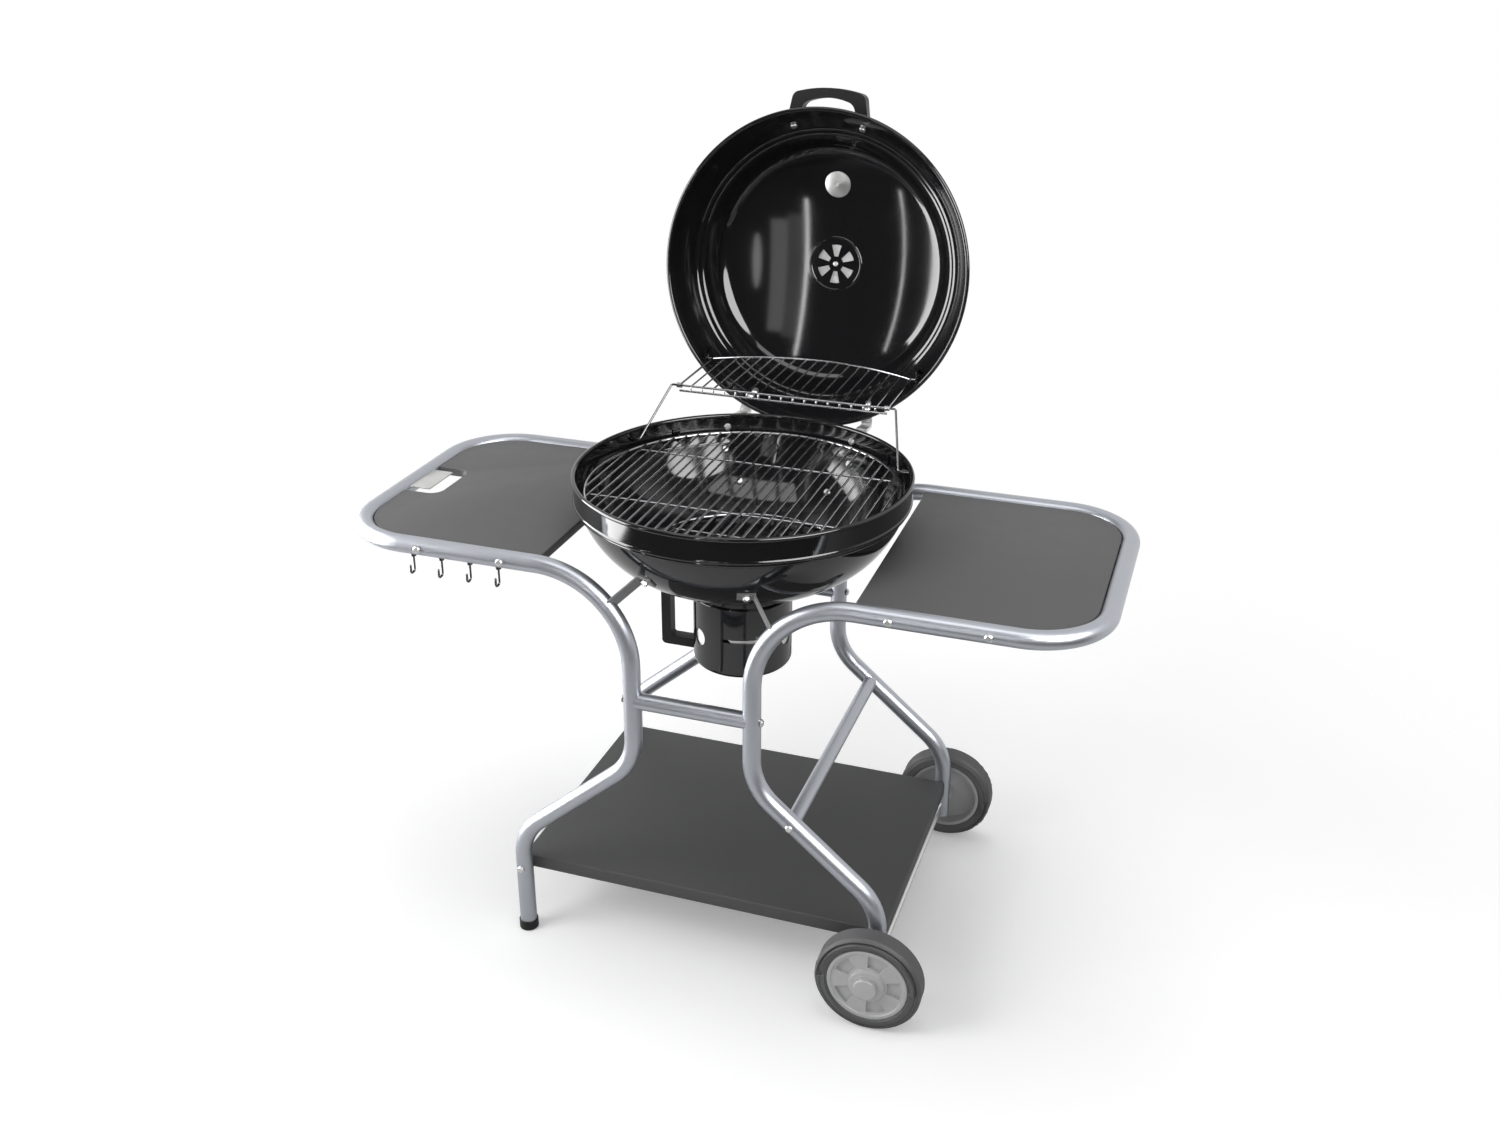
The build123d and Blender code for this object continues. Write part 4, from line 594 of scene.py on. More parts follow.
def settle(name, bm, *nodes, slot=None, sharp=35.0, rides=None):
    """Turns a bmesh into a finished piece that rides on its nodes' body and stands for those nodes."""
    for edge in bm.edges:
        edge.smooth = len(edge.link_faces) == 2 and edge.calc_face_angle(0.0) < radians(sharp)
    for face in bm.faces:
        face.smooth = True
    mesh = bpy.data.meshes.new(name)
    bm.to_mesh(mesh)
    bm.free()
    if not mesh.polygons:
        raise RuntimeError(name + " came out empty")
    slot = slot or SLOT_OF[nodes[0]]
    mesh.materials.append(finish(LOOK_OF[nodes[0]] if nodes else slot))
    piece = bpy.data.objects.new(name, mesh)
    bpy.context.scene.collection.objects.link(piece)
    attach(piece, rides or NODES[nodes[0]]["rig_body"])
    if nodes:
        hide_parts(*nodes)
    return piece


def of_kind(kind, items):
    return [item for item in items if isinstance(item, kind)]


def spun_round(bm, geom, steps):
    """Spins an outline once round the height axis and joins its ends."""
    bmesh.ops.spin(
        bm, geom=geom, cent=(0.0, 0.0, 0.0), axis=(0.0, 0.0, 1.0), angle=2 * pi, steps=steps, use_merge=True
    )


class Pen:
    """Draws an outline of radius and height with extruded straight runs and spun arcs."""

    def __init__(self, radius, height):
        self.bm = bmesh.new()
        self.tip = self.bm.verts.new((radius, 0.0, height))

    def to(self, radius, height):
        made = bmesh.ops.extrude_vert_indiv(self.bm, verts=[self.tip])
        self.tip = made["verts"][0]
        self.tip.co = (radius, 0.0, height)
        return self

    def along(self, points):
        """Straight runs through points of radius and height."""
        for point in points:
            self.to(*point)
        return self

    def round(self, centre, angle, steps):
        """Arc about a centre, positive from the radius axis up to the height axis."""
        pivot = (centre[0], 0.0, centre[1])
        made = bmesh.ops.spin(
            self.bm, geom=[self.tip], cent=pivot, axis=(0.0, -1.0, 0.0), angle=angle, steps=steps
        )
        self.tip = of_kind(BMVert, made["geom_last"])[0]
        return self

    def swell(self, radius, height, bulge, steps=5):
        """Arc to a point that swells to the right of the way there, or to the left for a negative bulge."""
        x, z = self.tip.co.x, self.tip.co.z
        chord = hypot(radius - x, height - z)
        bow = abs(bulge)
        arc_r = (chord * chord / 4 + bow * bow) / (2 * bow)
        side = 1.0 if bulge > 0 else -1.0
        right = ((height - z) / chord * side, -(radius - x) / chord * side)
        centre = ((x + radius) / 2 - right[0] * (arc_r - bow), (z + height) / 2 - right[1] * (arc_r - bow))
        return self.round(centre, side * 2 * asin(chord / 2 / arc_r), steps)

    def turned(self, steps, place=None):
        """Turns the outline once round the height axis and puts it in its place."""
        bm = self.bm
        spun_round(bm, bm.verts[:] + bm.edges[:], steps)
        bmesh.ops.remove_doubles(bm, verts=bm.verts, dist=MERGE)
        bmesh.ops.dissolve_degenerate(bm, edges=bm.edges, dist=1e-7)
        bmesh.ops.recalc_face_normals(bm, faces=bm.faces)
        if place is not None:
            bm.transform(place)
        return bm


def pointing(at, direction):
    """Matrix that puts the local Z axis along a direction at a point."""
    return Matrix.Translation(at) @ direction.to_track_quat("Z", "Y").to_matrix().to_4x4()


def rod(bm, start, end, radius, sides):
    """Straight round wire."""
    start, end = Vector(start), Vector(end)
    line = end - start
    place = pointing((start + end) / 2, line)
    bmesh.ops.create_cone(
        bm, cap_ends=True, segments=sides, radius1=radius, radius2=radius, depth=line.length, matrix=place
    )


def pushed(bm, face, move):
    """Extrudes an end face and moves it on."""
    made = bmesh.ops.extrude_face_region(bm, geom=[face, *face.edges, *face.verts])["geom"]
    bmesh.ops.translate(bm, vec=move, verts=of_kind(BMVert, made))
    return of_kind(BMFace, made)[0]


def bent_wire(bm, points, bend, radius, sides, steps=8):
    """Round wire along straight runs, spun through each corner at one bend radius."""
    points = [Vector(point) for point in points]
    circle = bmesh.ops.create_circle(
        bm, cap_ends=True, segments=sides, radius=radius, matrix=pointing(points[0], points[1] - points[0])
    )
    face = circle["verts"][0].link_faces[0]
    cut = 0.0
    for here, corner, after in zip(points, points[1:], points[2:] + [None]):
        run = corner - here
        along = run.normalized()
        turn = along.angle(after - corner) if after is not None else 0.0
        next_cut = bend * tan(turn / 2)
        face = pushed(bm, face, along * (run.length - cut - next_cut))
        cut = next_cut
        if turn > 1e-4:
            axis = along.cross(after - corner).normalized()
            centre = corner - along * cut + axis.cross(along) * bend
            made = bmesh.ops.spin(
                bm, geom=[face, *face.edges, *face.verts], cent=centre, axis=axis, angle=turn, steps=steps
            )
            face = of_kind(BMFace, made["geom_last"])[0]


def ring(bm, radius, wire_r, height, steps, sides):
    """Round ring of wire about the height axis."""
    place = Matrix.Translation((radius, 0.0, height)) @ Matrix.Rotation(pi / 2, 4, "X")
    circle = bmesh.ops.create_circle(bm, segments=sides, radius=wire_r, matrix=place)["verts"]
    edges = list({edge for vert in circle for edge in vert.link_edges})
    spun_round(bm, circle + edges, steps)


def soften(bm, edges, width, segments=2):
    """Rounds a set of edges."""
    bmesh.ops.bevel(
        bm, geom=edges, offset=width, offset_type="OFFSET", affect="EDGES", segments=segments, profile=0.5,
        material=-1, clamp_overlap=True
    )


def solid_copy(node, flat=0.5):
    """A solid's mesh as one closed skin, with the flat faces made whole."""
    bm = bmesh.new()
    bm.from_mesh(NODES[node].data)
    bmesh.ops.remove_doubles(bm, verts=bm.verts, dist=2e-6)
    bmesh.ops.dissolve_limit(bm, angle_limit=radians(flat), verts=bm.verts, edges=bm.edges)
    return bm


def level_edges(bm, node):
    """Edges round the top and the bottom of a flat board."""
    low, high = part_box(node)
    found = []
    for edge in bm.edges:
        heights = [vert.co.z for vert in edge.verts]
        flat = any(all(abs(z - level) < 1e-5 for z in heights) for level in (low.z, high.z))
        if flat and len(edge.link_faces) == 2 and edge.calc_face_angle(0.0) > radians(SQUARE):
            found.append(edge)
    return found


def sharp_edges(bm, angle=SQUARE):
    return [e for e in bm.edges if len(e.link_faces) == 2 and e.calc_face_angle(0.0) > radians(angle)]


# Pieces


class GRILL_OT_bowl(Operator):
    """Turns the bowl: flat floor, round belly, two beads, band and rolled rim"""

    bl_idname = "grill.bowl"
    bl_label = "Bowl"

    def execute(self, context):
        waist = (BAND_R - WAIST_IN, BAND_Z - WAIST_DROP)
        rise = waist[1] - FLOOR_Z
        belly_r = ((waist[0] - FLOOR_R) ** 2 + rise**2) / (2 * rise)
        centre = (FLOOR_R, FLOOR_Z + belly_r)
        reach = asin((waist[0] - FLOOR_R) / belly_r)
        inner_r = belly_r - WALL
        roll = (BAND_R - WALL / 2, RIM_Z - RIM_ROLL)
        neck_z = roll[1] - sqrt(RIM_ROLL**2 - (WALL / 2) ** 2)
        wrap = 2 * pi - 2 * asin(WALL / 2 / RIM_ROLL)
        pen = Pen(OUTLET_R, FLOOR_Z).to(FLOOR_R, FLOOR_Z).round(centre, reach, BELLY_STEPS)
        pen.swell(BAND_R - BEAD_IN, BAND_Z - BEAD_DROP, BOWL_BEAD_BULGE)
        pen.swell(BAND_R, BAND_Z, BOWL_BEAD_BULGE)
        pen.to(BAND_R, neck_z).round(roll, wrap, ROLL_STEPS)
        pen.to(BAND_R - WALL, BAND_Z).to(FLOOR_R + inner_r * sin(reach), centre[1] - inner_r * cos(reach))
        pen.round(centre, -reach, BELLY_STEPS).to(OUTLET_R, FLOOR_Z + WALL).to(OUTLET_R, FLOOR_Z)
        settle("kettle_bowl", pen.turned(sizes().turn_steps), "bowl")
        return {"FINISHED"}


def in_wedge(face):
    """Whether a face of the closed lid lies in one of the vent's wedge openings."""
    at = face.calc_center_median()
    if not VENT_HUB_R < hypot(at.x, at.y) < VENT_R or at.z < LID_Z + LID_DEPTH / 2:
        return False
    pitch = 360.0 / VENT_COUNT
    off = (degrees(atan2(at.y, at.x)) + pitch / 2) % pitch
    return min(off, pitch - off) < pitch / 4


class GRILL_OT_lid(Operator):
    """Turns the lid, cuts the vent's wedges, swings it open and fits the pieces on it"""

    bl_idname = "grill.lid"
    bl_label = "Lid"

    def execute(self, context):
        thin = LID_THIN
        skirt = (LID_SKIRT_R, LID_Z + LID_SKIRT_UP)
        ridge = (skirt[0] - LID_STEP_IN / 2, skirt[1] + LID_STEP_UP / 2)
        wall = (skirt[0] - LID_STEP_IN, skirt[1] + LID_STEP_UP)
        bend = (wall[0] - LID_WALL_RISE * LID_SLOPE, wall[1] + LID_WALL_RISE)
        shoulder = (bend[0] - LID_SHOULDER_R * cos(LID_LEAN), bend[1] - LID_SHOULDER_R * sin(LID_LEAN))
        rise = LID_Z + LID_DEPTH - shoulder[1]
        crown_r = (shoulder[0] ** 2 + rise**2 - LID_SHOULDER_R**2) / (2 * (rise - LID_SHOULDER_R))
        crown = (0.0, LID_Z + LID_DEPTH - crown_r)
        turn = atan2(shoulder[1] - crown[1], shoulder[0])
        roll = (LID_R - WALL / 2, LID_Z + RIM_ROLL)
        outer_off = asin(WALL / 2 * cos(LID_LEAN) / RIM_ROLL)
        inner_off = asin((thin - WALL / 2) * cos(LID_LEAN) / RIM_ROLL)
        start = pi / 2 + LID_LEAN + inner_off
        neck = (roll[0] + RIM_ROLL * cos(start), roll[1] + RIM_ROLL * sin(start))
        pen = Pen(*neck).round(roll, 2 * pi - inner_off - outer_off, ROLL_STEPS).to(*skirt)
        pen.swell(*ridge, LID_BEAD_BULGE).swell(*wall, LID_BEAD_BULGE).to(*bend)
        pen.round(shoulder, turn - LID_LEAN, ROLL_STEPS)
        self.crown(pen, crown, crown_r, turn, 1.0)
        pen.to(0.0, crown[1] + crown_r - WALL)
        self.crown(pen, crown, crown_r - WALL, turn, -1.0)
        pen.round(shoulder, LID_LEAN - turn, ROLL_STEPS).to(wall[0] - thin, wall[1])
        pen.swell(ridge[0] - thin, ridge[1], -LID_BEAD_BULGE)
        pen.swell(skirt[0] - thin, skirt[1], -LID_BEAD_BULGE).to(*neck)
        bm = pen.turned(sizes().turn_steps)
        wedges = [face for face in bm.faces if in_wedge(face)]
        if not wedges:
            raise RuntimeError("the lid has no vent")
        bmesh.ops.delete(bm, geom=wedges, context="FACES")
        for count in range(VENT_COUNT):
            angle = (count + 0.5) * 2 * pi / VENT_COUNT
            towards = Vector((cos(angle), sin(angle), 0.0))
            rims = [e for e in bm.edges if e.is_boundary and self.near(e, towards)]
            bmesh.ops.bridge_loops(bm, edges=rims)
        bm.transform(OPENED)
        settle("kettle_lid", bm, "lid")
        self.damper()
        self.hangers()
        self.hinge_arms()
        self.gauge_seat(crown, crown_r)
        self.rivet()
        return {"FINISHED"}

    def damper(self):
        """The damper's plate, turned with the wedges."""
        bm = solid_copy("lid_damper")
        bm.transform(OPENED @ Matrix.Rotation(pi / VENT_COUNT, 4, "Z") @ OPENED.inverted())
        settle("vent_damper_plate", bm, "lid_damper")

    def hangers(self):
        """The rack's hangers, kept inside the leaning side."""
        bm = solid_copy("rack_hangers")
        bm.transform(OPENED.inverted())
        for vert in bm.verts:
            room = lid_side(vert.co.z - LID_Z) - LID_THIN - HANGER_GAP
            if hypot(vert.co.x, vert.co.y) > room:
                vert.co.y = sqrt(room**2 - vert.co.x**2)
        bm.transform(OPENED)
        settle("rack_hanger_plates", bm, "rack_hangers")

    def hinge_arms(self):
        """The hinge arms and their bolts, leaned with the side that they hold."""
        for node in ("left_hinge_arm", "right_hinge_arm", "hinge_arm_bolts"):
            bm = solid_copy(node)
            bm.transform(OPENED.inverted())
            for vert in bm.verts:
                radius = hypot(vert.co.x, vert.co.y)
                share = (radius - LID_R + lid_side(vert.co.z - LID_Z)) / radius
                vert.co.x *= share
                vert.co.y *= share
            bm.transform(OPENED)
            settle(node + "_leaned", bm, node)

    def rivet(self):
        """Small rivet that the damper turns on."""
        bm = bmesh.new()
        top = LID_Z + LID_DEPTH
        rod(bm, (0.0, 0.0, top - WALL - RIVET_IN), (0.0, 0.0, top + RIVET_OUT), RIVET_R, SMALL_STEPS)
        soften(bm, sharp_edges(bm), RIVET_EDGE)
        bm.transform(OPENED)
        settle("vent_rivet_head", bm, "vent_rivet")

    def gauge_seat(self, crown, crown_r):
        """Seat, inner plate and short probe of the thermometer, square to the crown."""
        lean = asin(GAUGE_REACH / crown_r)
        out = Vector((0.0, -sin(lean), cos(lean)))
        at = Vector((0.0, 0.0, crown[1])) + out * crown_r
        bm = bmesh.new()
        rod(bm, at - out * SINK, at + out * SEAT_RISE, SEAT_R, FINE_STEPS)
        rod(bm, at - out * (WALL + PLATE_T), at - out * (WALL - PLATE_SINK), PLATE_R, FINE_STEPS)
        rod(bm, at - out * (WALL + PROBE_LEN), at - out * WALL, PROBE_R, SMALL_STEPS)
        soften(bm, sharp_edges(bm), SEAT_EDGE)
        bm.transform(OPENED)
        settle("gauge_seat_and_probe", bm, "gauge_plate", "gauge_probe")

    @staticmethod
    def crown(pen, centre, radius, turn, way):
        """Crown to its middle, or back from there for a negative way, with a pressed ring round the vent."""
        rings = (VENT_RING[1], VENT_RING[0], VENT_R, VENT_HUB_R)
        stops = [turn, *[pi / 2 - asin(ring_r / radius) for ring_r in rings], pi / 2]
        steps = list(CROWN_STEPS)
        if way < 0:
            stops.reverse()
            steps.reverse()
        for start, end, count in zip(stops, stops[1:], steps):
            if count:
                pen.round(centre, end - start, count)
            else:
                pen.swell(radius * cos(end), centre[1] + radius * sin(end), -way * VENT_RING_RISE, 8)

    @staticmethod
    def near(edge, towards):
        at = (edge.verts[0].co + edge.verts[1].co) / 2
        flat = Vector((at.x, at.y, 0.0))
        return flat.length < 2 * VENT_R and flat.angle(towards) < pi / VENT_COUNT


def grate(name, node, make):
    """Round grate: a ring, bars along it and two cross wires under the bars."""
    bm = bmesh.new()
    sides = sizes().wire_sides
    radius, bar = make["radius"], make["bar"]
    ring(bm, radius, make["ring"], make["height"], RING_STEPS, sides)
    bar_z = make["height"] + make["ring"] - bar
    pitch = 2 * radius / (make["bars"] + 1)
    for count in range(1, make["bars"] + 1):
        x = -radius + count * pitch
        end = sqrt(radius**2 - x**2)
        rod(bm, (x, -end, bar_z), (x, end, bar_z), bar, sides)
    end = pitch * int(sqrt(radius**2 - make["cross"] ** 2) / pitch)
    for y in (-make["cross"], make["cross"]):
        cross_z = bar_z - CROSS_DROP * bar
        rod(bm, (-end, y, cross_z), (end, y, cross_z), bar, sides)
    settle(name, bm, node)


class GRILL_OT_grates(Operator):
    """Makes the cooking grate and the charcoal grate from round wire"""

    bl_idname = "grill.grates"
    bl_label = "Grates"

    def execute(self, context):
        grate("cooking_grate_wires", "cooking_grate", COOK)
        grate("charcoal_grate_wires", "charcoal_grate", COAL)
        return {"FINISHED"}


class GRILL_OT_rack(Operator):
    """Makes the warming rack from round wire: arched rear, turned-down front, eyes and rear pins"""

    bl_idname = "grill.rack"
    bl_label = "Warming rack"

    def execute(self, context):
        bm = bmesh.new()
        sides = sizes().wire_sides
        sag = RACK_MID_Y - RACK_REAR_Y
        arc_r = (RACK_HALF_W**2 + sag**2) / (2 * sag)
        centre = Vector((0.0, RACK_MID_Y - arc_r, RACK_Z))
        half = asin(RACK_HALF_W / arc_r)
        start = Vector((RACK_HALF_W, RACK_REAR_Y, RACK_Z))
        heading = Vector((0.0, 0.0, 1.0)).cross(start - centre)
        circle = bmesh.ops.create_circle(
            bm, cap_ends=True, segments=sides, radius=RACK_FRAME_R, matrix=pointing(start, heading)
        )
        face = circle["verts"][0].link_faces[0]
        geom = [face, *face.edges, *face.verts]
        bmesh.ops.spin(
            bm, geom=geom, cent=centre, axis=(0.0, 0.0, 1.0), angle=2 * half, steps=FINE_STEPS
        )
        low_z = RACK_Z - RACK_LIP
        for height in (RACK_Z, low_z):
            ends = [(x, RACK_FRONT_Y, height) for x in (-RACK_HALF_W, RACK_HALF_W)]
            rod(bm, *ends, RACK_FRAME_R, sides)
        for sign in (-1, 1):
            x = sign * RACK_HALF_W
            rod(bm, (x, RACK_FRONT_Y, RACK_Z), (x, RACK_REAR_Y, RACK_Z), RACK_FRAME_R, sides)
            pin = [(at, RACK_REAR_Y, RACK_Z) for at in (x - sign * PIN_OVERLAP, sign * PIN_REACH)]
            rod(bm, *pin, RACK_FRAME_R, sides)
            end = RACK_EYE_LEN / 2
            eye = Pen(RACK_LEG_R, -end).to(RACK_EYE_R, -end).to(RACK_EYE_R, end)
            eye.to(RACK_LEG_R, end).to(RACK_LEG_R, -end)
            place = pointing(Vector((x, RACK_FRONT_Y, RACK_Z)), Vector((1.0, 0.0, 0.0)))
            skin = eye.turned(SMALL_STEPS, place)
            spare = bpy.data.meshes.new("eye")
            skin.to_mesh(spare)
            skin.free()
            bm.from_mesh(spare)
            bpy.data.meshes.remove(spare)
        pitch = 2 * RACK_HALF_W / (RACK_BARS + 1)
        bar_z = RACK_Z - RACK_FRAME_R / 2
        for count in range(1, RACK_BARS + 1):
            x = -RACK_HALF_W + count * pitch
            rear = centre.y + sqrt(arc_r**2 - x**2)
            points = [(x, rear, bar_z), (x, RACK_FRONT_Y, bar_z), (x, RACK_FRONT_Y, low_z)]
            bent_wire(bm, points, 2 * RACK_BAR_R, RACK_BAR_R, sides, 5)
        settle("warming_rack_wires", bm, "warming_rack")
        return {"FINISHED"}


class GRILL_OT_hooks(Operator):
    """Bends the four utensil hooks and sets a collar under the rail on each"""

    bl_idname = "grill.hooks"
    bl_label = "Utensil hooks"

    def execute(self, context):
        bm = bmesh.new()
        sides = sizes().wire_sides
        for x in HOOK_X:
            front = HOOK_Y - HOOK_GAPE
            tip = (x, front, HOOK_LOW + HOOK_LIP)
            points = [(x, HOOK_Y, HOOK_TOP), (x, HOOK_Y, HOOK_LOW), (x, front, HOOK_LOW), tip]
            bent_wire(bm, points, HOOK_BEND * HOOK_GAPE, HOOK_WIRE_R, sides)
            place = Matrix.Translation(tip)
            bmesh.ops.create_uvsphere(
                bm, u_segments=sides, v_segments=8, radius=HOOK_TIP * HOOK_WIRE_R, matrix=place
            )
            top = RAIL_UNDER - HOOK_COLLAR_GAP
            rod(bm, (x, HOOK_Y, top - HOOK_COLLAR_H), (x, HOOK_Y, top), HOOK_COLLAR_R, SMALL_STEPS)
        settle("utensil_hook_wires", bm, "utensil_hooks")
        return {"FINISHED"}


def wheel_place(end):
    """Matrix from a wheel's own frame, with Z outwards, to its place on the axle."""
    at = Vector((AXLE.x, end * WHEEL_Y, AXLE.z))
    return Matrix.Translation(at) @ Matrix.Rotation(-end * pi / 2, 4, "X")


def pocket_faces(bm, face_z):
    """Faces of a hub's front web that lie in one of its five pockets."""
    found = []
    for face in bm.faces:
        at = face.calc_center_median()
        off = degrees(atan2(at.y, at.x)) % POCKET_PITCH
        off = min(off, POCKET_PITCH - off)
        within = POCKET_R[0] < hypot(at.x, at.y) < POCKET_R[1] and off < POCKET_HALF_ANGLE
        if within and abs(at.z - face_z) < 1e-4 and face.normal.z > 0.9:
            found.append(face)
    return found


class GRILL_OT_wheels(Operator):
    """Turns the tyres, hubs and hub caps, and sinks five pockets into each hub"""

    bl_idname = "grill.wheels"
    bl_label = "Wheels"

    def execute(self, context):
        for name, end in (("front", -1), ("rear", 1)):
            self.tyre(name, end)
            self.hub(name, end)
            self.cap(name, end)
        return {"FINISHED"}

    def tyre(self, name, end):
        side = TYRE_HALF_W - TYRE_STEP
        flank = [(RIM_R, side), *[(RIM_R + out, TYRE_HALF_W - drop) for out, drop in TYRE_RIDGE]]
        flank += [(RIM_R + TYRE_RIDGE_FOOT, side), (WHEEL_R - TYRE_ROUND[0], side)]
        flank.append((WHEEL_R, side - TYRE_ROUND[1]))
        pen = Pen(RIM_R, -side).along([(radius, -z) for radius, z in flank[1:]])
        pen.along([*flank[::-1], (RIM_R, -side)])
        bm = pen.turned(sizes().wheel_steps, wheel_place(end))
        soften(bm, sharp_edges(bm, RIDGE), sizes().tyre_edge)
        settle(name + "_tyre_ring", bm, name + "_tyre")

    def hub(self, name, end):
        rim = RIM_R - HUB_FIT
        lip = rim - HUB_RIM
        side = TYRE_HALF_W - TYRE_STEP
        face = TYRE_HALF_W - HUB_FACE_IN
        back = face - HUB_WEB
        boss = TYRE_HALF_W + HUB_PROUD
        web = (HUB_BOSS_FOOT, POCKET_R[0], sum(POCKET_R) / 2, POCKET_R[1], rim - HUB_RIM_FOOT)
        pen = Pen(AXLE_R, boss).along([(radius, boss - drop) for radius, drop in HUB_BOSS])
        pen.along([(radius, face) for radius in web])
        pen.to(lip, side).to(rim, side).to(rim, -side).to(lip, -side).to(lip, back).to(HUB_SLEEVE_R, back)
        pen.to(HUB_SLEEVE_R, -HUB_SLEEVE).to(AXLE_R, -HUB_SLEEVE).to(AXLE_R, boss)
        bm = pen.turned(sizes().wheel_steps)
        pockets = pocket_faces(bm, face)
        if not pockets:
            raise RuntimeError("the hub has no pockets")
        edges = {edge for pocket in pockets for edge in pocket.edges}
        verts = {vert for pocket in pockets for vert in pocket.verts}
        made = bmesh.ops.extrude_face_region(bm, geom=[*pockets, *edges, *verts])["geom"]
        bmesh.ops.translate(bm, vec=(0.0, 0.0, -POCKET_DEPTH), verts=of_kind(BMVert, made))
        left = [pocket for pocket in pockets if pocket.is_valid]
        if left:
            bmesh.ops.delete(bm, geom=left, context="FACES_ONLY")
        bm.normal_update()
        soften(bm, sharp_edges(bm, CORNER), HUB_EDGE)
        bm.transform(wheel_place(end))
        settle(name + "_hub_moulding", bm, name + "_hub")

    def cap(self, name, end):
        low = TYRE_HALF_W + HUB_PROUD + CAP_GAP
        high = low + HUB_CAP_H
        inner = HUB_CAP_R - HUB_CAP_WALL
        pen = Pen(0.0, high).along([(radius, high - drop) for radius, drop in CAP_CROWN])
        pen.round((CAP_ROUND[0], high - CAP_ROUND[1]), -pi / 2, 8).to(HUB_CAP_R, low).to(inner, low)
        pen.to(inner, high - CAP_INSIDE).to(0.0, high - HUB_CAP_WALL)
        bm = pen.turned(CAP_STEPS, wheel_place(end))
        settle(name + "_hub_cap_dome", bm, name + "_hub_cap", sharp=50.0)


class GRILL_OT_shelves(Operator):
    """Rounds the edges of the shelf boards and of the tab in the hand slot"""

    bl_idname = "grill.shelves"
    bl_label = "Shelves"

    def execute(self, context):
        for node in ("left_shelf", "right_shelf", "lower_shelf"):
            bm = solid_copy(node)
            soften(bm, level_edges(bm, node), sizes().board_edge, 3)
            settle(node + "_board", bm, node)
        bm = solid_copy("slot_tab")
        soften(bm, sharp_edges(bm), TAB_EDGE)
        settle("slot_tab_plate", bm, "slot_tab")
        return {"FINISHED"}


class GRILL_OT_handles(Operator):
    """Makes the lid's grip and bolt heads, and rounds the ash can's handle, which gets finger ribs"""

    bl_idname = "grill.handles"
    bl_label = "Handles"

    def execute(self, context):
        self.grip()
        self.grip_bolts()
        bm = solid_copy("ash_handle", 1.0)
        long_edges = [e for e in sharp_edges(bm, CORNER) if e.calc_length() > ASH_HANDLE_SHORT]
        soften(bm, long_edges, ASH_HANDLE_EDGE, 3)
        self.ribs(bm)
        settle("ash_handle_moulding", bm, "ash_handle")
        return {"FINISHED"}

    def grip(self):
        """Lid handle with a bowed bar and splayed legs that end on the lid's side."""
        reach = LID_SKIRT_R + GRIP_STANDOFF
        outer, inner = GRIP_HALF_W, GRIP_HALF_W - GRIP_LEG
        foot = LID_SKIRT_R
        pen = Pen(-outer - GRIP_SPLAY, foot).to(-outer, reach - GRIP_BOW)
        pen.swell(outer, reach - GRIP_BOW, -GRIP_BOW, BOW_STEPS).to(outer + GRIP_SPLAY, foot)
        pen.to(inner + GRIP_SPLAY, foot).to(inner, reach - GRIP_BOW - GRIP_BAR)
        pen.swell(-inner, reach - GRIP_BOW - GRIP_BAR, GRIP_BOW, BOW_STEPS).to(-inner - GRIP_SPLAY, foot)
        pen.to(-outer - GRIP_SPLAY, foot)
        bm = pen.bm
        bmesh.ops.remove_doubles(bm, verts=bm.verts, dist=MERGE)
        face = bmesh.ops.contextual_create(bm, geom=bm.edges)["faces"][0]
        bm.transform(Matrix.Rotation(pi / 2, 4, "X"))
        bm.transform(Matrix.Translation((0.0, 0.0, LID_Z + GRIP_UP - GRIP_DEEP / 2)))
        pushed(bm, face, (0.0, 0.0, GRIP_DEEP))
        if len(bm.faces) < 10:
            raise RuntimeError("the grip is not closed")
        bmesh.ops.recalc_face_normals(bm, faces=bm.faces)
        corners = [e for e in sharp_edges(bm, CORNER) if e.verts[0].co.y < -foot - GRIP_BAR]
        upright = [e for e in corners if abs(e.verts[0].co.z - e.verts[1].co.z) > GRIP_DEEP / 2]
        soften(bm, upright, GRIP_CORNER, 6)
        soften(bm, [e for e in sharp_edges(bm) if e.calc_length() > GRIP_SHORT], sizes().grip_edge, 3)
        for vert in bm.verts:
            if vert.co.y > -foot - GRIP_BAR / 2:
                vert.co.y = -sqrt((lid_side(vert.co.z - LID_Z) - GRIP_SINK) ** 2 - vert.co.x**2)
        bm.transform(OPENED)
        settle("lid_grip_moulding", bm, "lid_grip")

    def grip_bolts(self):
        """Round heads of the grip's two bolts, inside the lid."""
        bm = bmesh.new()
        x, up = GRIP_BOLT
        radius = lid_side(up) - LID_THIN
        for side in (-x, x):
            level = Vector((side, -sqrt(radius**2 - x**2), 0.0))
            out = level.normalized() * cos(LID_LEAN) + Vector((0.0, 0.0, sin(LID_LEAN)))
            seat = level + Vector((0.0, 0.0, LID_Z + up))
            rod(bm, seat - out * BOLT_HEAD_H, seat + out * SINK, BOLT_HEAD_R, SMALL_STEPS)
        soften(bm, sharp_edges(bm), BOLT_HEAD_EDGE)
        bm.transform(OPENED)
        settle("grip_bolt_heads", bm, "grip_bolts")

    def ribs(self, bm):
        """Finger ribs up the handle's outer side."""
        low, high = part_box("ash_handle")
        first = low.z + RIB_MARGIN
        span = high.z - low.z - 2 * RIB_MARGIN
        for step in range(RIB_COUNT):
            at = (low.x, 0.0, first + span * step / (RIB_COUNT - 1))
            place = Matrix.Translation(at) @ Matrix.Diagonal((*RIB_SIZE, 1.0))
            cube = bmesh.ops.create_cube(bm, size=1.0, matrix=place)["verts"]
            soften(bm, list({edge for vert in cube for edge in vert.link_edges}), RIB_EDGE)


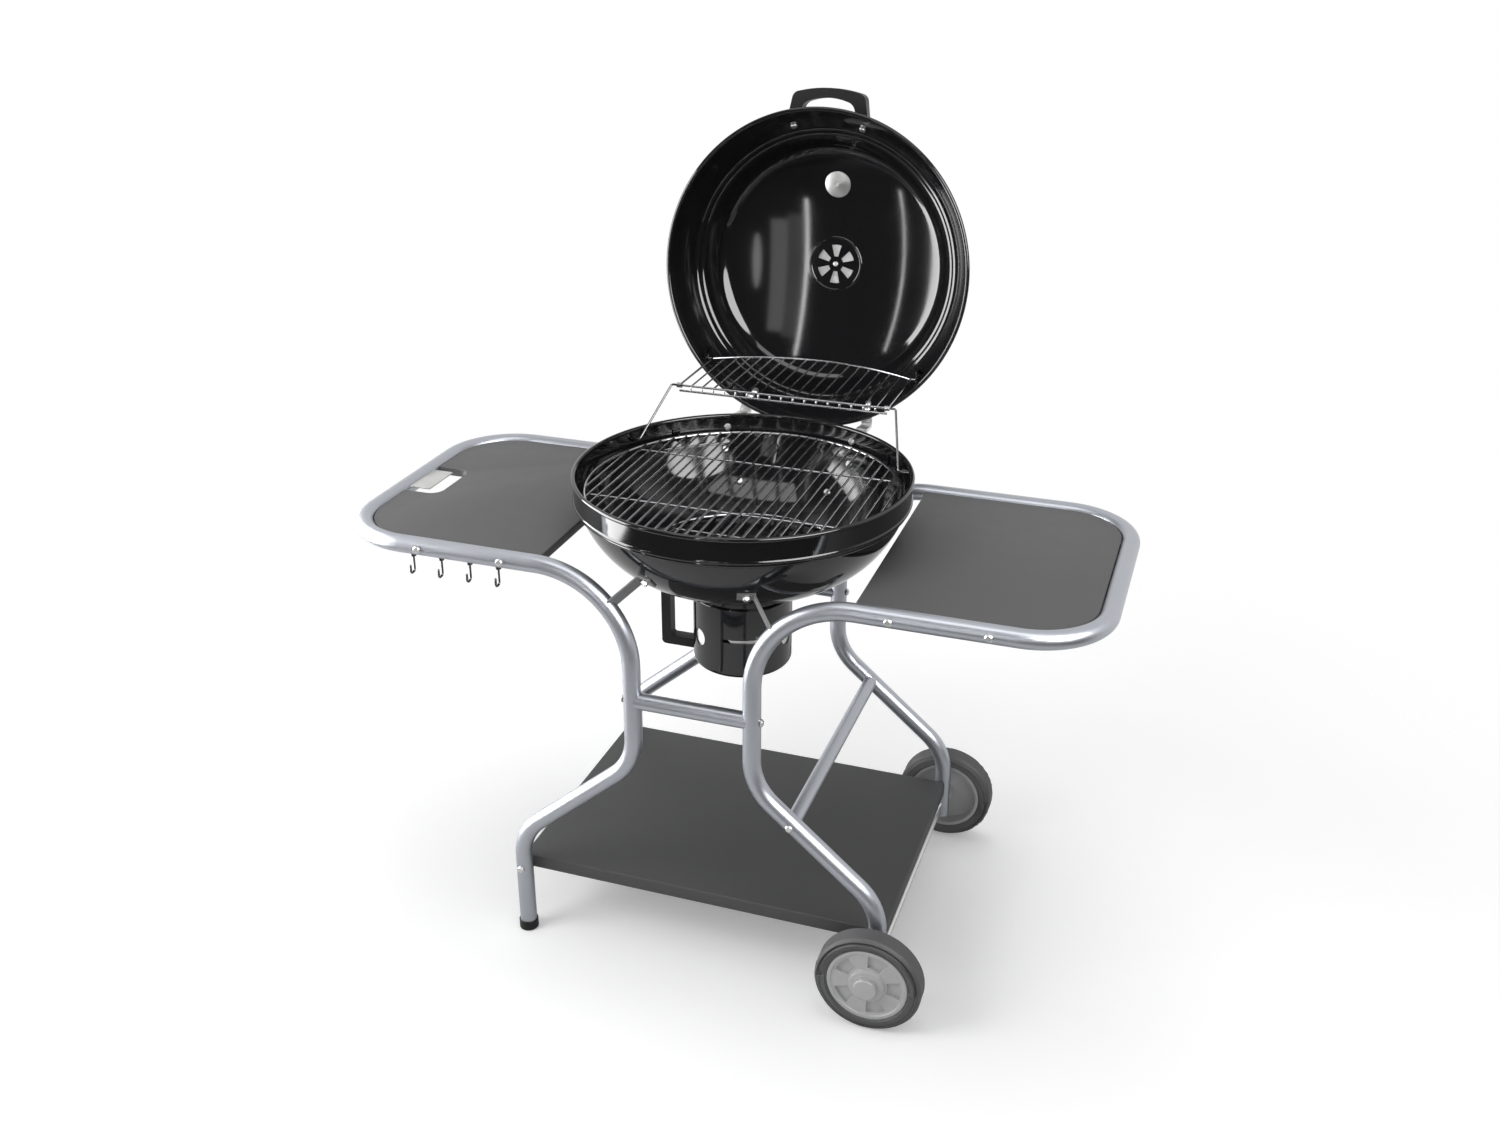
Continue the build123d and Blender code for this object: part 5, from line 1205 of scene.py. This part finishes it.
class GRILL_OT_gauge(Operator):
    """Prints ticks and numbers on the thermometer's dial"""

    bl_idname = "grill.gauge"
    bl_label = "Thermometer dial"

    def execute(self, context):
        side = Vector((-1.0, 0.0, 0.0))
        up = GAUGE_OUT.cross(side)
        place = Matrix((side, up, GAUGE_OUT)).transposed().to_4x4()
        place.translation = GAUGE_AT + GAUGE_OUT * (DIAL_FACE + INK_LIFT)
        bm = bmesh.new()
        for step in range(TICK_COUNT):
            angle = radians(DIAL_START - step * TICK_TURN)
            tick = TICK_SHORT if step % 3 else TICK_LONG
            at = Vector((cos(angle), sin(angle), 0.0)) * (DIAL_R - TICK_IN - tick[0] / 2)
            turned = Matrix.Translation(at) @ Matrix.Rotation(angle, 4, "Z")
            spot = turned @ Matrix.Diagonal((*tick, INK_T, 1.0))
            bmesh.ops.create_cube(bm, size=1.0, matrix=spot)
        for step in range(NUMBER_COUNT):
            angle = radians(DIAL_START - step * NUMBER_TURN)
            curve = bpy.data.curves.new("number", "FONT")
            curve.body = str(step * NUMBER_STEP)
            curve.align_x = "CENTER"
            curve.align_y = "CENTER"
            curve.size = NUMBER_SIZE
            text = bpy.data.objects.new("number", curve)
            context.scene.collection.objects.link(text)
            context.view_layer.update()
            flat = bpy.data.meshes.new_from_object(text.evaluated_get(context.evaluated_depsgraph_get()))
            at = Vector((cos(angle), sin(angle), 0.0)) * (DIAL_R - NUMBER_IN)
            flat.transform(Matrix.Translation(at))
            bm.from_mesh(flat)
            bpy.data.meshes.remove(flat)
            bpy.data.objects.remove(text)
            bpy.data.curves.remove(curve)
        bm.transform(place)
        settle("gauge_print", bm, slot="ink", rides="lid")
        return {"FINISHED"}


class GRILL_OT_solids(Operator):
    """Gives every solid that still shows the finish of its slot"""

    bl_idname = "grill.solids"
    bl_label = "Finish the solids"

    def execute(self, context):
        for node, solid in NODES.items():
            if solid.hide_render:
                continue
            solid.data.materials.clear()
            solid.data.materials.append(finish(LOOK_OF[node]))
        return {"FINISHED"}


# Stage

CAMERA_AT = Vector((0.77154, -2.20795, 1.75022))
CAMERA_TURN = radians(18.96)
CAMERA_DOWN = radians(24.9)
CAMERA_ROLL = radians(0.13)
FOCUS_PIXELS = 1509.29
IMAGE_WIDTH = 1500.0
SENSOR_WIDTH = 36.0
FLOOR_RADIUS = 6.0
FLOOR_STEPS = 96
FLOOR_DROP = 0.0004
FLOOR_FADE = (1.0, 2.0)
FLOOR_LIFT = 0.25
FRONT_GLOSS = 0.06
BACK_FADE = (-0.25, 0.35)
WHITE = (1.0, 1.0, 1.0, 1.0)

# Name, place, point that it faces, width, height, level in the studio, share of that level, shape
REFLECTORS = (
    ("strip", (-0.41, -3.0, 1.55), (-0.41, 0.0, 1.55), 0.07, 3.0, "strip", 1.0, "RECTANGLE"),
    ("panel_near", (-0.21, -3.02, 1.5), (-0.21, 0.0, 1.5), 0.32, 2.3, "panel", 0.55, "RECTANGLE"),
    ("panel_far", (0.10, -3.02, 1.5), (0.10, 0.0, 1.5), 0.30, 2.1, "panel", 1.2, "RECTANGLE"),
    ("panel_side", (0.50, -3.0, 1.22), (0.50, 0.0, 1.22), 0.16, 1.0, "panel", 2.0, "ELLIPSE"),
    ("edge_strip", (-1.50, -1.56, 1.1), (0.0, 0.45, 1.1), 0.03, 1.9, "strip", 1.0, "RECTANGLE"),
    ("left_box", (-1.7, -0.5, 0.95), (0.0, -0.5, 0.95), 1.4, 1.8, "left", 1.0, "RECTANGLE"),
    ("top_box", (0.0, -0.9, 3.3), (0.0, -0.9, 0.0), 2.4, 1.2, "above", 1.0, "RECTANGLE"),
    ("right_box", (1.97, -1.24, 2.22), (0.0, 0.3, 0.95), 2.4, 2.0, "right", 1.0, "ELLIPSE"),
)


def lamp(name, at, towards, width, height, power):
    """Soft area lamp that faces a point."""
    data = bpy.data.lights.new(name, "AREA")
    data.shape = "RECTANGLE"
    data.size, data.size_y = width, height
    data.energy = power
    made = bpy.data.objects.new(name, data)
    made.location = at
    made.rotation_mode = "QUATERNION"
    made.rotation_quaternion = (Vector(towards) - Vector(at)).to_track_quat("-Z", "Y")
    made.visible_camera = False
    bpy.context.scene.collection.objects.link(made)
    return made


def reflector(name, at, towards, width, height, brightness, shape):
    """Panel of one brightness that shows in gloss and adds no light."""
    made = lamp(name, at, towards, width, height, brightness * pi * width * height)
    made.data.shape = shape
    made.visible_diffuse = False


class GRILL_OT_stage(Operator):
    """Sets the floor, the studio light, the white background and the camera"""

    bl_idname = "grill.stage"
    bl_label = "Stage"

    def execute(self, context):
        studio = context.scene.grill_studio
        self.floor(context)
        self.room(context, studio.sky)
        middle = (0.0, 0.0, 0.7)
        for made in (
            lamp("key_lamp", (-2.4, -2.2, 3.0), middle, 1.8, 1.8, studio.key),
            lamp("top_lamp", (0.2, 0.3, 3.6), (0.0, 0.0, 0.5), 3.0, 2.4, studio.top),
        ):
            made.visible_glossy = False
        for name, at, towards, width, height, level, share, shape in REFLECTORS:
            reflector(name, at, towards, width, height, share * getattr(studio, level), shape)
        self.camera(context)
        return {"FINISHED"}

    def floor(self, context):
        bm = bmesh.new()
        place = Matrix.Translation((0.0, 0.0, -FLOOR_DROP))
        bmesh.ops.create_circle(bm, cap_ends=True, segments=FLOOR_STEPS, radius=FLOOR_RADIUS, matrix=place)
        mesh = bpy.data.meshes.new("studio_floor")
        bm.to_mesh(mesh)
        bm.free()
        made = bpy.data.objects.new("studio_floor", mesh)
        context.scene.collection.objects.link(made)
        material, mix = new_finish("floor")
        tone = mix.tint(mix.noise(3.0), tuple(context.scene.grill_colours.floor), 0.01)
        matte = mix.node("ShaderNodeBsdfDiffuse", None, {"Color": tone})
        away = mix.node("ShaderNodeVectorMath", {"operation": "LENGTH"}, {0: mix.place()}, "Value")
        fade = mix.smooth(away, *FLOOR_FADE)
        seen = mix.node("ShaderNodeLightPath", output="Is Camera Ray")
        lift = mix.node("ShaderNodeEmission", None, {"Color": WHITE, "Strength": FLOOR_LIFT * seen})
        lit = mix.node("ShaderNodeAddShader", None, {0: matte, 1: lift})
        clear = mix.node("ShaderNodeBsdfTransparent")
        both = mix.node("ShaderNodeMixShader", None, {0: fade, 1: lit, 2: clear})
        mix.node("ShaderNodeOutputMaterial", None, {"Surface": both})
        mesh.materials.append(material)

    def room(self, context, strength):
        world = bpy.data.worlds.new("studio_room")
        context.scene.world = world
        world.use_nodes = True
        mix = Mixer(world.node_tree)
        seen = mix.node("ShaderNodeLightPath", output="Is Camera Ray")
        through = mix.node("ShaderNodeLightPath", output="Is Transmission Ray")
        gloss = mix.node("ShaderNodeLightPath", output="Is Glossy Ray")
        towards = mix.node("ShaderNodeTexCoord", output="Generated")
        back = mix.smooth(mix.node("ShaderNodeSeparateXYZ", None, {0: towards}, "Y"), *BACK_FADE)
        mirrored = FRONT_GLOSS + (1.0 - FRONT_GLOSS) * back
        plain = strength + gloss * (mirrored - strength)
        level = plain + (seen | through) * (1.0 - plain)
        glow = mix.node("ShaderNodeBackground", None, {"Color": WHITE, "Strength": level})
        mix.node("ShaderNodeOutputWorld", None, {"Surface": glow})

    def camera(self, context):
        scene = context.scene
        scene.view_settings.view_transform = "Standard"
        data = bpy.data.cameras.new("photo_camera")
        data.sensor_width = SENSOR_WIDTH
        data.lens = FOCUS_PIXELS / IMAGE_WIDTH * data.sensor_width
        made = bpy.data.objects.new("photo_camera", data)
        yaw, pitch = CAMERA_TURN, CAMERA_DOWN
        ahead = Vector((-sin(yaw) * cos(pitch), cos(yaw) * cos(pitch), -sin(pitch)))
        right = Vector((cos(yaw), sin(yaw), 0.0))
        up = right.cross(ahead)
        rolled = cos(CAMERA_ROLL) * right + sin(CAMERA_ROLL) * up
        upright = cos(CAMERA_ROLL) * up - sin(CAMERA_ROLL) * right
        place = Matrix((rolled, upright, -ahead)).transposed().to_4x4()
        place.translation = CAMERA_AT
        made.matrix_world = place
        scene.collection.objects.link(made)
        scene.camera = made


OPERATORS = (
    GRILL_OT_bowl,
    GRILL_OT_lid,
    GRILL_OT_grates,
    GRILL_OT_rack,
    GRILL_OT_hooks,
    GRILL_OT_wheels,
    GRILL_OT_shelves,
    GRILL_OT_handles,
    GRILL_OT_gauge,
    GRILL_OT_solids,
    GRILL_OT_stage,
)


class GRILL_PT_looks(Panel):
    """Lists the grill's pieces, sizes and colours"""

    bl_idname = "GRILL_PT_looks"
    bl_label = "Kettle grill"
    bl_space_type = "VIEW_3D"
    bl_region_type = "UI"
    bl_category = "Grill"

    def draw(self, context):
        layout = self.layout
        for group in (context.scene.grill_sizes, context.scene.grill_colours, context.scene.grill_studio):
            box = layout.box()
            for name in group.__annotations__:
                box.prop(group, name)
        for operator in OPERATORS:
            layout.operator(operator.bl_idname)


CLASSES = (GrillSizes, GrillColours, GrillStudio, *OPERATORS, GRILL_PT_looks)


def register():
    for item in CLASSES:
        bpy.utils.register_class(item)
    bpy.types.Scene.grill_sizes = PointerProperty(type=GrillSizes)
    bpy.types.Scene.grill_colours = PointerProperty(type=GrillColours)
    bpy.types.Scene.grill_studio = PointerProperty(type=GrillStudio)


def unregister():
    del bpy.types.Scene.grill_studio
    del bpy.types.Scene.grill_colours
    del bpy.types.Scene.grill_sizes
    for item in reversed(CLASSES):
        bpy.utils.unregister_class(item)


def main():
    register()
    bpy.ops.grill.bowl()
    bpy.ops.grill.lid()
    bpy.ops.grill.grates()
    bpy.ops.grill.rack()
    bpy.ops.grill.hooks()
    bpy.ops.grill.wheels()
    bpy.ops.grill.shelves()
    bpy.ops.grill.handles()
    bpy.ops.grill.gauge()
    bpy.ops.grill.solids()
    bpy.ops.grill.stage()


if __name__ == "__main__":
    main()
